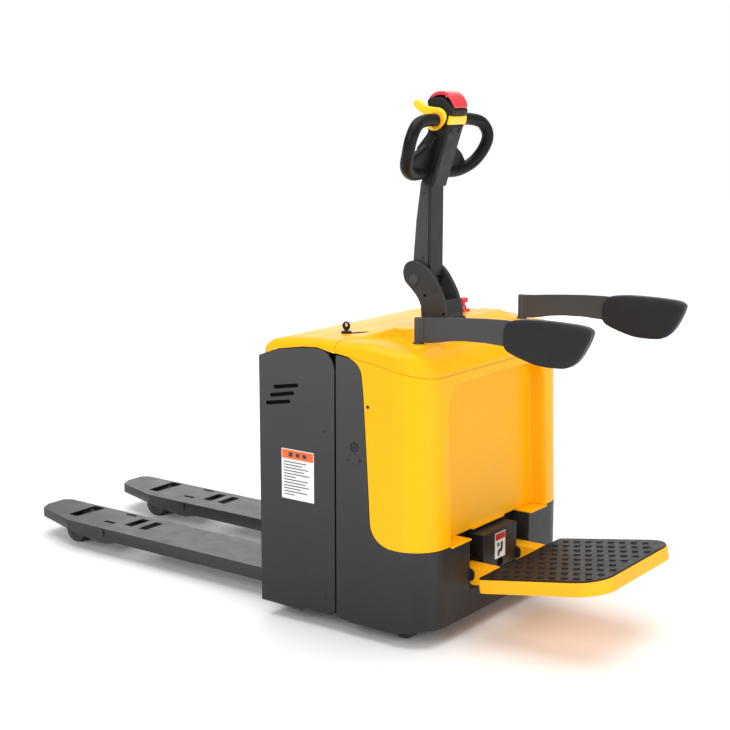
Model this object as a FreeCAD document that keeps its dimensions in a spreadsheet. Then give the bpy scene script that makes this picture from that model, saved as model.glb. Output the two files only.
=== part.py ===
import FreeCAD, Part
import math
import os
from FreeCAD import Placement, Rotation, Vector

# Electric pallet truck with a folding rear platform.
# Frame: +Z up, +X from the fork tips to the platform, Z = 0 on the floor,
# Y = 0 on the truck's centre plane. Millimetres.

doc = FreeCAD.newDocument("pallet_truck")
sheet = doc.addObject("Spreadsheet::Sheet", "Sizes")

SIZES = {
    "half_length": 1028,
    "body_width": 735,
    "skin": 5,
    "seam_x": 310,
    "rear_x": 599,
    "fork_outer": 270,
    "fork_inner": 96,
    "fork_top": 88,
    "fork_bottom": 40,
    "fork_sheet": 6,
    "fork_root_x": 62,
    "roller_radius": 40,
    "roller_width": 93,
    "roller_x": -860,
    "arm_pivot_x": -688,
    "arm_pivot_z": 70,
    "arm_inset": 97,
    "arm_plate": 8,
    "pin_radius": 8,
    "running_gap": 0.05,
    "box_rear_x": 288,
    "box_wall": 6,
    "battery_length": 208,
    "battery_width": 624,
    "battery_height": 600,
    "steer_x": 405,
    "drive_radius": 105,
    "drive_width": 70,
    "deck_z": 300,
    "ram_y": 200,
    "ram_x": 352,
    "ram_radius": 24,
    "rod_radius": 14,
    "castor_x": 460,
    "castor_y": 280,
    "castor_radius": 40,
    "castor_trail": 22,
    "post_x": 500,
    "post_y": 261,
    "post_radius": 11,
    "guard_bar": 8,
    "guard_pad": 36,
    "tiller_x": 333,
    "tiller_z": 926,
    "bracket_half": 42,
    "column_half": 29,
    "spine_half": 38,
    "grip_tube": 33.6,
    "head_x": 389,
    "head_z": 1187,
    "hinge_x": 598,
    "hinge_z": 160,
    "platform_half": 222,
    "platform_reach": 431.2,
    "platform_tilt": 9.7,
    "key_x": 255,
    "key_y": -245,
    "stop_x": 370,
    "stop_y": 150,
}
for row, (alias, value) in enumerate(SIZES.items(), start=1):
    sheet.set(f"A{row}", alias)
    sheet.set(f"B{row}", str(value))
    sheet.setAlias(f"B{row}", alias)
doc.recompute()


def size(alias):
    return float(sheet.get(alias))


HALF_WIDTH = size("body_width") / 2
SKIN = size("skin")
GAP = size("running_gap")
HEAD_LEAN = 18.4
SIDES = {"left": -1, "right": 1}

nodes = {}


# ---------------------------------------------------------------- helpers

def bind(item, prop, value):
    """Text is an expression on the sheet, a number is a plain size."""
    if isinstance(value, str):
        item.setExpression(prop, value)
    else:
        setattr(item, prop, value)


def block(low, high):
    """A box between two corners."""
    item = doc.addObject("Part::Box", "Block")
    item.Length, item.Width, item.Height = (b - a for a, b in zip(low, high))
    item.Placement.Base = Vector(*low)
    return item


AXIS_TURN = {
    "X": Rotation(Vector(0, 1, 0), 90),
    "Y": Rotation(Vector(1, 0, 0), -90),
    "Z": Rotation(),
}


def rod(axis, start, length, radius):
    """A cylinder from its start point along a row axis."""
    item = doc.addObject("Part::Cylinder", "Rod")
    bind(item, "Radius", radius)
    bind(item, "Height", length)
    item.Placement = Placement(Vector(*start), AXIS_TURN[axis])
    return item


def rounded_edges(corners):
    """Lines and arcs of a closed outline; a corner is (u, v) or (u, v, radius)."""
    edges = []
    joints = []
    count = len(corners)
    for i, corner in enumerate(corners):
        here = Vector(corner[0], corner[1], 0)
        if len(corner) < 3:
            joints.append((here, None, here))
            continue
        back = Vector(*corners[i - 1][:2], 0) - here
        ahead = Vector(*corners[(i + 1) % count][:2], 0) - here
        half = back.getAngle(ahead) / 2
        reach = corner[2] / math.tan(half)
        back.normalize()
        ahead.normalize()
        middle = back + ahead
        middle.normalize()
        crown = corner[2] / math.sin(half) - corner[2]
        joints.append((here + back * reach, here + middle * crown, here + ahead * reach))
    for i, (enter, crown, leave) in enumerate(joints):
        if crown:
            edges.append(Part.Arc(enter, crown, leave))
        following = joints[(i + 1) % count][0]
        if (following - leave).Length > 1e-6:
            edges.append(Part.LineSegment(leave, following))
    return edges


PLANES = {
    "XY": (Rotation(), Vector(0, 0, 1)),
    "XZ": (Rotation(Vector(1, 0, 0), 90), Vector(0, 1, 0)),
    "YZ": (Rotation(Vector(1, 1, 1), 120), Vector(1, 0, 0)),
}


def slab(plane, corners, start, length):
    """A sketch outline in a row plane, extruded along that plane's positive axis."""
    turn, along = PLANES[plane]
    sketch = doc.addObject("Sketcher::SketchObject", "Outline")
    sketch.addGeometry(rounded_edges(corners), False)
    sketch.Placement = Placement(along * start, turn)
    item = doc.addObject("Part::Extrusion", "Slab")
    item.Base = sketch
    item.DirMode = "Custom"
    item.Dir = along
    item.Solid = True
    bind(item, "LengthFwd", length)
    return item


def centred(plane, corners, middle, width):
    return slab(plane, corners, middle - width / 2, width)


def joined(items):
    item = doc.addObject("Part::MultiFuse", "Joined")
    item.Shapes = items
    return item


def cut(base, *tools):
    item = doc.addObject("Part::Cut", "Cut")
    item.Base = base
    item.Tool = tools[0] if len(tools) == 1 else joined(list(tools))
    return item


def shared(items):
    item = doc.addObject("Part::MultiCommon", "Shared")
    item.Shapes = items
    return item


def group(items):
    """Separate solids that share a node."""
    item = doc.addObject("Part::Compound", "Group")
    item.Links = items
    return item


def node(name, item):
    item.Label = name
    nodes[name] = item
    return item


def height_at(line, x):
    """Height of a polyline at x."""
    for (x0, z0), (x1, z1) in zip(line, line[1:]):
        if x0 <= x <= x1:
            return z0 + (z1 - z0) * (x - x0) / (x1 - x0)
    return line[-1][1]


def bent_wire(points):
    """Straight runs joined by tangent arcs as large as the runs allow."""
    corners = [Vector(*point) for point in points]
    edges = []
    start = corners[0]
    for back, here, ahead in zip(corners, corners[1:], corners[2:]):
        into = (back - here).normalize()
        out = (ahead - here).normalize()
        reach = 0.45 * min((here - back).Length, (ahead - here).Length)
        half = into.getAngle(out) / 2
        radius = reach * math.tan(half)
        middle = here + (into + out).normalize() * (radius / math.sin(half) - radius)
        enter, leave = here + into * reach, here + out * reach
        edges.append(Part.LineSegment(start, enter).toShape())
        edges.append(Part.Arc(enter, middle, leave).toShape())
        start = leave
    edges.append(Part.LineSegment(start, corners[-1]).toShape())
    return Part.Wire(edges)


def pipe(points, radius):
    """Round bar swept along a bent wire."""
    start = Vector(*points[0])
    ring = Part.Wire(Part.makeCircle(radius, start, Vector(*points[1]) - start))
    item = doc.addObject("Part::Feature", "Pipe")
    item.Shape = bent_wire(points).makePipeShell([ring], True, False)
    return item


# ---------------------------------------------------------------- forks

FORK_ROOT = size("fork_root_x")
FORK_TIP = -size("half_length")
FORK_TOP = size("fork_top")
FORK_BOTTOM = size("fork_bottom")
SHEET = size("fork_sheet")
INNER, OUTER = size("fork_inner"), size("fork_outer")
PIVOT_X, PIVOT_Z = size("arm_pivot_x"), size("arm_pivot_z")
ROLLER_X, ROLLER_R = size("roller_x"), size("roller_radius")
PIN_R = size("pin_radius")
FORK_WIDTH = OUTER - INNER
FORK_TAPER_X = -840
PIN_HEAD_R = 13
PIN_HEAD = 4
SLOT_ROUND = 5


def fork_low(side):
    """The fork's edge on the -Y side; both forks are the same pressing, drawn from that edge."""
    return INNER if side > 0 else -OUTER


def fork_plan(side, inset):
    """Plan of one fork, drawn in by an inset on every side but the root."""
    low = fork_low(side)
    outline = [
        (FORK_ROOT, FORK_WIDTH - inset),
        (FORK_ROOT, inset),
        (FORK_TAPER_X, inset),
        (FORK_TIP + 20 + inset, 52 + inset),
        (FORK_TIP + inset, 90 + inset, 12),
        (FORK_TIP + inset, 158 - inset, 12),
        (FORK_TIP + 22 + inset, FORK_WIDTH - inset),
    ]
    return [(x, low + y, *rest) for x, y, *rest in outline]


# side view of the fork's walls: deepest at the arm pivot, shallow at the tip
FORK_SIDE = [
    (FORK_ROOT, 48), (-622, 50), (-672, FORK_BOTTOM), (-692, FORK_BOTTOM), (-770, 47), (-846, 58),
    (FORK_TIP, 58), (FORK_TIP, FORK_TOP), (FORK_ROOT, FORK_TOP),
]
# openings in the top plate: x from and to, and distances from the fork's -Y edge
FORK_SLOTS = [
    (-884, -838, 46, 164),
    (-733, -689, 54, 68),
    (-733, -689, 152, 164),
    (-654, -620, 66, 148),
    (-592, -560, 66, 148),
]


def fork(side):
    """Pressed channel, open below, with its slots and the bore for the arm pivot."""
    low = fork_low(side)
    plan = slab("XY", fork_plan(side, 0), FORK_BOTTOM, FORK_TOP - FORK_BOTTOM)
    body = shared([plan, centred("XZ", FORK_SIDE, 0, 4 * OUTER)])
    hollow = slab("XY", fork_plan(side, SHEET), 0, FORK_TOP - SHEET)
    slots = []
    for x0, x1, y0, y1 in FORK_SLOTS:
        corners = [(x0, y0), (x1, y0), (x1, y1), (x0, y1)]
        ring = [(x, low + y, SLOT_ROUND) for x, y in corners]
        slots.append(slab("XY", ring, FORK_TOP - 2 * SHEET, 3 * SHEET))
    bore = rod("Y", (PIVOT_X, low - 5, PIVOT_Z), FORK_WIDTH + 10, PIN_R)
    return cut(body, hollow, bore, *slots)


def pivot_pin(side):
    """Pin across the fork with a flat head on both faces."""
    low = fork_low(side)
    pin = rod("Y", (PIVOT_X, low, PIVOT_Z), FORK_WIDTH, "Sizes.pin_radius")
    near_head = rod("Y", (PIVOT_X, low - PIN_HEAD, PIVOT_Z), PIN_HEAD, PIN_HEAD_R)
    far_head = rod("Y", (PIVOT_X, low + FORK_WIDTH, PIVOT_Z), PIN_HEAD, PIN_HEAD_R)
    return joined([pin, near_head, far_head])


# ---------------------------------------------------------------- load roller gear

ARM_PLATE = size("arm_plate")
ARM_HALF = size("roller_width") / 2 + 2
ROD_LEVER = 20
ARM_END = 13


def arm_middle(side):
    return fork_low(side) + size("arm_inset")


def roller_arm(side):
    """Two plates from the pivot tube to the roller axle, with a short pull lever."""
    middle = arm_middle(side)
    link = Vector(PIVOT_X - ROLLER_X, 0, PIVOT_Z - ROLLER_R)
    lean = math.degrees(math.atan2(link.z, link.x))
    far = link.Length + ARM_END - 2
    strap = [(-ARM_END, -ARM_END, 12), (far, 2 - ARM_END, 9), (far, ARM_END - 2, 9), (-ARM_END, ARM_END, 12)]
    plates = []
    for y in (middle - ARM_HALF - ARM_PLATE, middle + ARM_HALF):
        plate = slab("XZ", strap, 0, ARM_PLATE)
        plate.Placement = Placement(Vector(ROLLER_X, y, ROLLER_R), Rotation(Vector(0, 1, 0), -lean))
        plates.append(plate)
    width = 2 * (ARM_HALF + ARM_PLATE)
    tube = rod("Y", (PIVOT_X, middle - width / 2, PIVOT_Z), width, 11)
    x0, x1, lever_low = PIVOT_X - 8, PIVOT_X + 8, PIVOT_Z - ROD_LEVER - 8
    lever = centred("XZ", [(x0, lever_low, 6), (x1, lever_low, 6), (x1, PIVOT_Z), (x0, PIVOT_Z)], middle, 12)
    pivot_bore = rod("Y", (PIVOT_X, middle - width, PIVOT_Z), 2 * width, PIN_R + GAP)
    axle_bore = rod("Y", (ROLLER_X, middle - width, ROLLER_R), 2 * width, PIN_R)
    return cut(joined(plates + [tube, lever]), pivot_bore, axle_bore)


def roller_axle(side):
    """Pin through both arm plates."""
    width = 2 * (ARM_HALF + ARM_PLATE)
    return rod("Y", (ROLLER_X, arm_middle(side) - width / 2, ROLLER_R), width, "Sizes.pin_radius")


def load_roller(side):
    """Roller with chamfered rims, bored for its axle."""
    half = size("roller_width") / 2
    middle = arm_middle(side)
    start = (ROLLER_X, middle - half, ROLLER_R)
    tread = rod("Y", start, "Sizes.roller_width", "Sizes.roller_radius")
    bore = rod("Y", start, "Sizes.roller_width", PIN_R + GAP)
    grooves = []
    for offset in (-half, half - 3):
        face = (ROLLER_X, middle + offset, ROLLER_R)
        grooves.append(cut(rod("Y", face, 3, 26), rod("Y", face, 3, 14)))
    return cut(tread, bore, *grooves)


def pull_rod(side):
    """Long rod from the arm's lever back to an eye at the fork's root."""
    rod_z = PIVOT_Z - ROD_LEVER
    start = PIVOT_X + 12
    middle = arm_middle(side)
    bar = rod("X", (start, middle, rod_z), FORK_ROOT - 20 - start, 7)
    eye = rod("Y", (FORK_ROOT - 32, middle - 10, rod_z), 20, 9.5)
    return joined([bar, eye])


# ---------------------------------------------------------------- carriage

BOX_REAR = size("box_rear_x")
WALL = size("box_wall")
PANEL_Y = HALF_WIDTH - SKIN
SEAM = size("seam_x")
CARRIAGE_END = SEAM - 4
RIM = [(50, 733), (112, 755), (203, 770), (251, 773), (CARRIAGE_END, 762)]
COVER_SPLIT = 218
COVER_TOP = [(54, 742), (82, 765), (105, 779), (144, 788), (COVER_SPLIT, 794), (CARRIAGE_END, 795)]
BOX_FLOOR = 66


LUG_Z = 570
LUG_SHEET = 14


def battery_box():
    """Open steel box behind the forks, with side walls up to the covers and two lift lugs."""
    wall_top = [(x, height_at(RIM, x)) for x in (BOX_REAR, 251, 203, 112, FORK_ROOT)]
    outline = [(FORK_ROOT, FORK_BOTTOM + 2), (BOX_REAR, FORK_BOTTOM + 2)] + wall_top
    solid = centred("XZ", outline, 0, 2 * PANEL_Y)
    inner = block((FORK_ROOT + WALL, -PANEL_Y + WALL, BOX_FLOOR), (BOX_REAR - WALL, PANEL_Y - WALL, 900))
    under = block((FORK_ROOT + WALL, -PANEL_Y + WALL, 0), (BOX_REAR - WALL, PANEL_Y - WALL, BOX_FLOOR - WALL))
    rear_cut = block((BOX_REAR - WALL - 1, -PANEL_Y + WALL, 700), (BOX_REAR + 1, PANEL_Y - WALL, 900))
    parts = [cut(solid, inner, under, rear_cut)]
    ram_x, ram_y = size("ram_x"), size("ram_y")
    for side in SIDES.values():
        low, high = sorted((side * (ram_y - 22), side * (ram_y + 30)))
        parts.append(block((BOX_REAR, low, LUG_Z), (ram_x + 22, high, LUG_Z + LUG_SHEET)))
        gusset = [(BOX_REAR, 520), (BOX_REAR + 14, 520), (ram_x - 4, LUG_Z), (BOX_REAR, LUG_Z)]
        parts.append(centred("XZ", gusset, side * (ram_y + 26), 8))
    return joined(parts)


def battery_pack():
    """Traction battery: case, lid and two terminals."""
    length, width, height = size("battery_length"), size("battery_width"), size("battery_height")
    x0 = FORK_ROOT + WALL + 3
    case = doc.addObject("Part::Box", "Case")
    case.setExpression("Length", "Sizes.battery_length")
    case.setExpression("Width", "Sizes.battery_width")
    case.setExpression("Height", "Sizes.battery_height")
    case.Placement.Base = Vector(x0, -width / 2, BOX_FLOOR)
    top = BOX_FLOOR + height
    lid = block((x0 + 10, -width / 2 + 10, top), (x0 + length - 10, width / 2 - 10, top + 12))
    posts = [rod("Z", (x0 + 50, y, top + 12), 18, 12) for y in (-60, 60)]
    return joined([case, lid] + posts)


PANEL_OUTLINE = [
    (50, 39), (190, 36), (225, 50), (300, 50), (307, 60),
    (307, 770, 55), (251, 770), (203, 768), (112, 753), (50, 732, 10),
]
VENTS = [(105, 650, 181, 663), (92, 626, 166, 640), (78, 603, 153, 616)]
PANEL_SCREWS = [(274, 550), (271, 85), (167, 58)]
PANEL_SCREW_R = 4
VENT_HALF = 5


def vent(x0, z0, x1, z1):
    """Outline of one slanted slot with round ends."""
    run = Vector(x1 - x0, z1 - z0, 0)
    run.normalize()
    off = Vector(-run.y, run.x, 0) * VENT_HALF
    start = Vector(x0, z0, 0) + run * VENT_HALF
    end = Vector(x1, z1, 0) - run * VENT_HALF
    round_end = VENT_HALF - 0.2
    ring = [start - off - run * VENT_HALF, end - off + run * VENT_HALF,
            end + off + run * VENT_HALF, start + off - run * VENT_HALF]
    return [(point.x, point.y, round_end) for point in ring]


def side_panel(side):
    """Flat side cover of the battery box with its vents and screw holes."""
    low = min(side * PANEL_Y, side * HALF_WIDTH)
    plate = slab("XZ", PANEL_OUTLINE, low, "Sizes.skin")
    tools = [slab("XZ", vent(*slot), low - 5, SKIN + 10) for slot in VENTS]
    tools += [rod("Y", (x, low - 5, z), SKIN + 10, PANEL_SCREW_R) for x, z in PANEL_SCREWS]
    return cut(plate, *tools)


def panel_screws():
    """Screws set just below the face of each side panel."""
    length = SKIN - 0.5
    items = []
    for side in SIDES.values():
        low = min(side * PANEL_Y, side * (PANEL_Y + length))
        items += [rod("Y", (x, low, z), length, PANEL_SCREW_R) for x, z in PANEL_SCREWS]
    return group(items)


def top_cover(x0, x1, holes):
    """Part of the yellow top between two seams: thin roof with side and end lips."""
    xs = [x0] + [x for x, z in COVER_TOP if x0 < x < x1] + [x1]
    roof = [(x, height_at(COVER_TOP, x)) for x in reversed(xs)]
    base = [(x, height_at(RIM, x)) for x in [x0] + [x for x, z in RIM if x0 < x < x1] + [x1]]
    solid = centred("XZ", base + roof, 0, 2 * HALF_WIDTH)
    lip = SKIN + WALL
    inner_xs = [x0 + SKIN] + xs[1:-1] + [x1 - SKIN]
    ceiling = [(x, height_at(COVER_TOP, x) - SKIN) for x in reversed(inner_xs)]
    hollow = centred("XZ", [(x0 + SKIN, 600), (x1 - SKIN, 600)] + ceiling, 0, 2 * (HALF_WIDTH - lip))
    return cut(solid, hollow, *holes)


KEY_X, KEY_Y = size("key_x"), size("key_y")
KEY_SEAT = 795
KEY_NECK = 10


def key_switch():
    """Lock barrel with a flange and a slot for the key."""
    base_z = height_at(COVER_TOP, KEY_X)
    neck = rod("Z", (KEY_X, KEY_Y, base_z - 26), KEY_SEAT + 1 - base_z + 26, KEY_NECK)
    flange = rod("Z", (KEY_X, KEY_Y, KEY_SEAT), 6, 14)
    slot = rod("Z", (KEY_X, KEY_Y, KEY_SEAT - 10), 20, 5 + GAP)
    return cut(joined([neck, flange]), slot)


def ignition_key():
    """Round stub in the barrel with a flat bow above."""
    stub = rod("Z", (KEY_X, KEY_Y, KEY_SEAT - 8), 16, 5)
    bow = rod("Y", (KEY_X, KEY_Y - 2, KEY_SEAT + 20), 4, 13)
    return joined([stub, bow])


# ---------------------------------------------------------------- drive unit shells

REAR = size("rear_x")
SHELL_START = SEAM + 2
CORNER = 90
SHELL_FLOOR = 258
SHELL_TOP = [(SHELL_START, 764), (348, 759), (453, 745), (578, 720), (REAR, 716)]


def plan_outline(inset, front):
    y = HALF_WIDTH - inset
    x = REAR - inset
    turn = CORNER - inset
    return [(front, -y), (x, -y, turn), (x, y, turn), (front, y)]


def wrap(inset, front, low, high):
    return slab("XY", plan_outline(inset, front), low, high - low)


def skirt_profile():
    """Side view of the grey skirt: tall at the seam, low round the back."""
    return [
        (SHELL_START, 48), (350, 37), (494, 37), (560, 48), (REAR + 5, 48),
        (REAR + 5, SHELL_FLOOR + 4), (424, 268, 62), (414, 440), (400, 660), (390, 752, 48), (SHELL_START, 760),
    ]


NICHE_HALF = 155


def lower_skirt():
    """Grey wrap round the drive unit with the niche for the platform arms and a drain port each side."""
    wall = cut(wrap(0, SHELL_START, 30, 780), wrap(SKIN, SEAM, 20, 790))
    skirt = shared([wall, centred("XZ", skirt_profile(), 0, 800)])
    niche = block((REAR - 40, -NICHE_HALF, 120), (REAR + 10, NICHE_HALF, SHELL_FLOOR + 20))
    ports = [rod("Y", (372, min(side * (PANEL_Y - 2), side * (HALF_WIDTH + 4)), 521), SKIN + 3, 13)
             for side in SIDES.values()]
    return cut(skirt, niche, *ports)


RECESS_HALF = 250
RECESS_BACK = 555
RECESS_TOP = 690


def recess(grow):
    """Knee recess in the back, with rounded upper corners."""
    half = RECESS_HALF + grow
    low = SHELL_FLOOR - grow
    outline = [(-half, low), (half, low), (half, RECESS_TOP + grow, 60), (-half, RECESS_TOP + grow, 60)]
    return slab("YZ", outline, RECESS_BACK - grow, 200)


def rear_shell():
    """Outer cover down to the skirt's edge, with the knee recess let into its back."""
    outer = wrap(0, SHELL_START, SHELL_FLOOR - SKIN, 780)
    rear_line = [(REAR + 5, SHELL_FLOOR - SKIN), (REAR + 5, 714)]
    region = centred("XZ", rear_line + SHELL_TOP[::-1] + [(SHELL_START, 200), (400, 200)], 0, 800)
    inner = cut(wrap(SKIN, SEAM, 200, 800), recess(SKIN))
    skirt_zone = cut(centred("XZ", skirt_profile(), 0, 800), wrap(SKIN, SEAM, 0, 800))
    return cut(shared([outer, region]), inner, recess(0), skirt_zone)


HOOD_END = 591
HOOD_EDGE = [(SHELL_START, 795), (491, 788), (540, 781), (582, 750), (HOOD_END, 730)]
ISLAND_HALF = 235
ISLAND = [(SHELL_START, 800), (352, 824), (446, 824), (560, 776), (HOOD_END, 734)]
SOCKET_R = 22
HOOD_PORT = 62
STOP_NECK = 11
STOP_SEAT = 824


def hood_solid(drop):
    """Hood volume lowered and drawn in by a wall thickness."""
    start, end, half = SHELL_START + drop, HOOD_END - drop, HALF_WIDTH - drop
    base = [(start, 700), (end, 700)]
    edge = [(max(start, min(x, end)), z - drop) for x, z in reversed(HOOD_EDGE)]
    crown = [(max(start, min(x, end)), z - drop) for x, z in reversed(ISLAND)]
    skirted = centred("XZ", base + edge, 0, 2 * half)
    island = centred("XZ", base + crown, 0, 2 * (ISLAND_HALF - drop))
    turn = CORNER - drop
    corners = [(SHELL_START, -half), (end, -half, turn), (end, half, turn), (SHELL_START, half)]
    plan = slab("XY", corners, 600, 300)
    return shared([joined([skirted, island]), plan])


def hood():
    """Hood above the shells, with ports for the tiller post, the stop switch and the guard sockets."""
    below = centred("XZ", SHELL_TOP + [(REAR + 10, 716), (REAR + 10, 500), (SEAM, 500), (SEAM, 764)], 0, 900)
    shell = cut(hood_solid(0), hood_solid(SKIN), below)
    holes = [rod("Z", (size("steer_x"), 0, 600), 300, HOOD_PORT),
             rod("Z", (size("stop_x"), size("stop_y"), 780), 60, STOP_NECK)]
    for side in SIDES.values():
        holes.append(rod("Z", (size("post_x"), side * size("post_y"), 700), 200, SOCKET_R))
    return cut(shell, *holes)


def estop_base():
    x, y = size("stop_x"), size("stop_y")
    neck = rod("Z", (x, y, 796), STOP_SEAT - 796, STOP_NECK)
    flange = rod("Z", (x, y, STOP_SEAT), 6, 20)
    return cut(joined([neck, flange]), rod("Z", (x, y, 790), 60, 6 + GAP))


def estop_knob():
    """Mushroom head on a stem, free to travel down."""
    x, y = size("stop_x"), size("stop_y")
    stem = rod("Z", (x, y, 800), 42, 6)
    head = rod("Z", (x, y, 842), 9, 16)
    crown = doc.addObject("Part::Cone", "Crown")
    crown.Radius1, crown.Radius2, crown.Height = 16, 11, 4
    crown.Placement.Base = Vector(x, y, 851)
    return joined([stem, head, crown])


# ---------------------------------------------------------------- chassis and drive

STEER_X = size("steer_x")
DECK = size("deck_z")
DECK_SHEET = 8
CHASSIS_REAR = 546
REAR_PLATE = CHASSIS_REAR - 6
CHEEK_Y = 340
TOP_PLATE = 712
CASTOR_PLATE = 112
BEARING_R = 95
HUB_R = 75


def chassis_frame():
    """Welded plates: front bulkhead, deck, top plate, side cheeks, castor plates and rear plate."""
    parts = [
        block((SEAM + 6, -CHEEK_Y, DECK), (SEAM + 12, CHEEK_Y, 515)),
        block((SEAM + 6, -CHEEK_Y, DECK), (REAR_PLATE, CHEEK_Y, DECK + DECK_SHEET)),
        block((SEAM + 20, -CHEEK_Y, TOP_PLATE), (REAR_PLATE, CHEEK_Y, TOP_PLATE + 6)),
        block((CHASSIS_REAR - 12, -170, 100), (REAR_PLATE, 170, DECK)),
    ]
    for side in SIDES.values():
        low, high = sorted((side * CHEEK_Y, side * (CHEEK_Y - 6)))
        parts.append(block((SEAM + 20, low, CASTOR_PLATE), (REAR_PLATE, high, TOP_PLATE)))
        low, high = sorted((side * 222, side * CHEEK_Y))
        parts.append(block((400, low, CASTOR_PLATE), (REAR_PLATE, high, CASTOR_PLATE + 8)))
        low, high = sorted((side * 164, side * 222))
        parts.append(block((CHASSIS_REAR - 40, low, CASTOR_PLATE), (REAR_PLATE, high, CASTOR_PLATE + 8)))
    holes = [rod("Z", (STEER_X, 0, DECK - 5), 20, 78), rod("Z", (STEER_X, 0, TOP_PLATE - 5), 20, 40)]
    castor_x, castor_y = size("castor_x"), size("castor_y")
    holes += [rod("Z", (castor_x, side * castor_y, 100), 30, 8 + GAP) for side in SIDES.values()]
    return cut(joined(parts), *holes)


def slewing_ring():
    """Bearing ring under the deck that the drive turns in."""
    ring = rod("Z", (STEER_X, 0, DECK - 14), 14, BEARING_R)
    return cut(ring, rod("Z", (STEER_X, 0, DECK - 20), 30, 70 + GAP))


def gearbox():
    """Turning flange, bridge over the wheel and side leg with the wheel shaft."""
    leg_top = DECK - 14
    flange = rod("Z", (STEER_X, 0, leg_top - 4), 20, 70)
    bridge = rod("Z", (STEER_X, 0, 218), leg_top - 218, 66)
    x0, x1 = STEER_X - 42, STEER_X + 42
    leg = slab("XZ", [(x0, 50, 30), (x1, 50, 30), (x1, 250), (x0, 250)], 42, 50)
    shaft = rod("Y", (STEER_X, -34, size("drive_radius")), 78, 20)
    return joined([flange, bridge, leg, shaft])


def traction_motor():
    """Upright finned motor with a brake on top."""
    motor = rod("Z", (STEER_X, 0, DECK + 2), 190, 62)
    fins = [rod("Z", (STEER_X, 0, DECK + 40 + 26 * i), 8, 66) for i in range(5)]
    brake = rod("Z", (STEER_X, 0, DECK + 192), 40, 50)
    return joined([motor, brake] + fins)


def drive_hub():
    """Iron disc with six round pockets on one face."""
    half = size("drive_width") / 2
    start = (STEER_X, -half, size("drive_radius"))
    disc = rod("Y", start, "Sizes.drive_width", HUB_R)
    pockets = []
    for i in range(6):
        spoke = Vector(48 * math.cos(math.radians(60 * i)), 0, 48 * math.sin(math.radians(60 * i)))
        pockets.append(rod("Y", Vector(STEER_X, -half - 1, size("drive_radius")) + spoke, 14, 9))
    return cut(disc, rod("Y", (STEER_X, -half - 1, size("drive_radius")), 80, 20 + GAP), *pockets)


def drive_tyre():
    """Solid tyre round the hub."""
    start = (STEER_X, -size("drive_width") / 2, size("drive_radius"))
    tread = rod("Y", start, "Sizes.drive_width", "Sizes.drive_radius")
    return cut(tread, rod("Y", start, "Sizes.drive_width", HUB_R))


def castor_fork(side):
    """Swivel head with a kingpin and two legs that carry the wheel axle."""
    x, y, trail = size("castor_x"), side * size("castor_y"), size("castor_trail")
    wheel_r = size("castor_radius")
    top = 92
    head = block((x - 24, y - 26, top), (x + trail + 10, y + 26, top + 8))
    kingpin = rod("Z", (x, y, top), CASTOR_PLATE + 8 - top, 8)
    axle_x = x + trail
    eye, low = 11, wheel_r - 11
    outline = [(x - 18, top), (axle_x - eye, low, 9), (axle_x + eye, low, 9), (axle_x + 10, top)]
    legs = [slab("XZ", outline, y + offset, 4) for offset in (-26, 22)]
    axle = rod("Y", (axle_x, y - 26, wheel_r), 52, 5)
    return joined([head, kingpin, axle] + legs)


def castor_wheel(side):
    """Plain wheel bored for the castor fork's axle."""
    x, y = size("castor_x") + size("castor_trail"), side * size("castor_y")
    wheel = rod("Y", (x, y - 18, size("castor_radius")), 36, "Sizes.castor_radius")
    return cut(wheel, rod("Y", (x, y - 20, size("castor_radius")), 40, 5 + GAP))


RAM_BASE = DECK + DECK_SHEET
RAM_TOP = 500


def lift_rams():
    """Two hydraulic cylinders standing on the deck."""
    items = []
    for side in SIDES.values():
        x, y = size("ram_x"), side * size("ram_y")
        tube = rod("Z", (x, y, RAM_BASE), RAM_TOP - RAM_BASE, "Sizes.ram_radius")
        bore = rod("Z", (x, y, RAM_BASE + 10), RAM_TOP - RAM_BASE - 30, 19)
        gland = rod("Z", (x, y, RAM_TOP - 30), 40, size("rod_radius") + GAP)
        items.append(cut(tube, bore, gland))
    return group(items)


def ram_rods():
    """Pistons with rods up to the carriage's lift lugs."""
    items = []
    for side in SIDES.values():
        x, y = size("ram_x"), side * size("ram_y")
        piston = rod("Z", (x, y, RAM_BASE + 14), 24, 19 - GAP)
        stem = rod("Z", (x, y, RAM_BASE + 14), LUG_Z - RAM_BASE - 14, "Sizes.rod_radius")
        items.append(joined([piston, stem]))
    return group(items)


def hydraulic_unit():
    """Oil tank with its pump motor beside it."""
    tank = block((440, 130, RAM_BASE), (536, 320, 470))
    motor = rod("Z", (488, 188, 470), 120, 42)
    cap = rod("Z", (488, 284, 470), 20, 18)
    return joined([tank, motor, cap])


def motor_controller():
    """Finned controller block on the deck."""
    base = block((440, -320, RAM_BASE), (520, -130, 480))
    fins = [block((520, -316 + 19 * i, RAM_BASE), (534, -310 + 19 * i, 480)) for i in range(10)]
    return joined([base] + fins)


SHELL_SCREWS = [(416, 634), (352, 485), (390, 488)]
SCREW_PROUD = 0.4


def shell_screws():
    """Flat screw heads on the outside of the shells."""
    items = []
    for side in SIDES.values():
        low = HALF_WIDTH if side > 0 else -HALF_WIDTH - SCREW_PROUD
        items += [rod("Y", (x, low, z), SCREW_PROUD, 5) for x, z in SHELL_SCREWS]
    return group(items)


# ---------------------------------------------------------------- guards

POST_X, POST_Y, POST_R = size("post_x"), size("post_y"), size("post_radius")
BAR_OUTLINE = [
    (POST_X, 799), (529, 799), (626, 815), (707, 817), (780, 812), (900, 815, 20),
    (940, 850, 12), (900, 876, 20), (780, 881), (631, 874), (POST_X, 862),
]
PAD_OUTLINE = [
    (762, 839, 30), (776, 879, 12), (893, 889, 200), (985, 884, 14), (984, 850, 60), (940, 781, 40),
    (862, 779, 60), (768, 800, 12),
]


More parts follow.
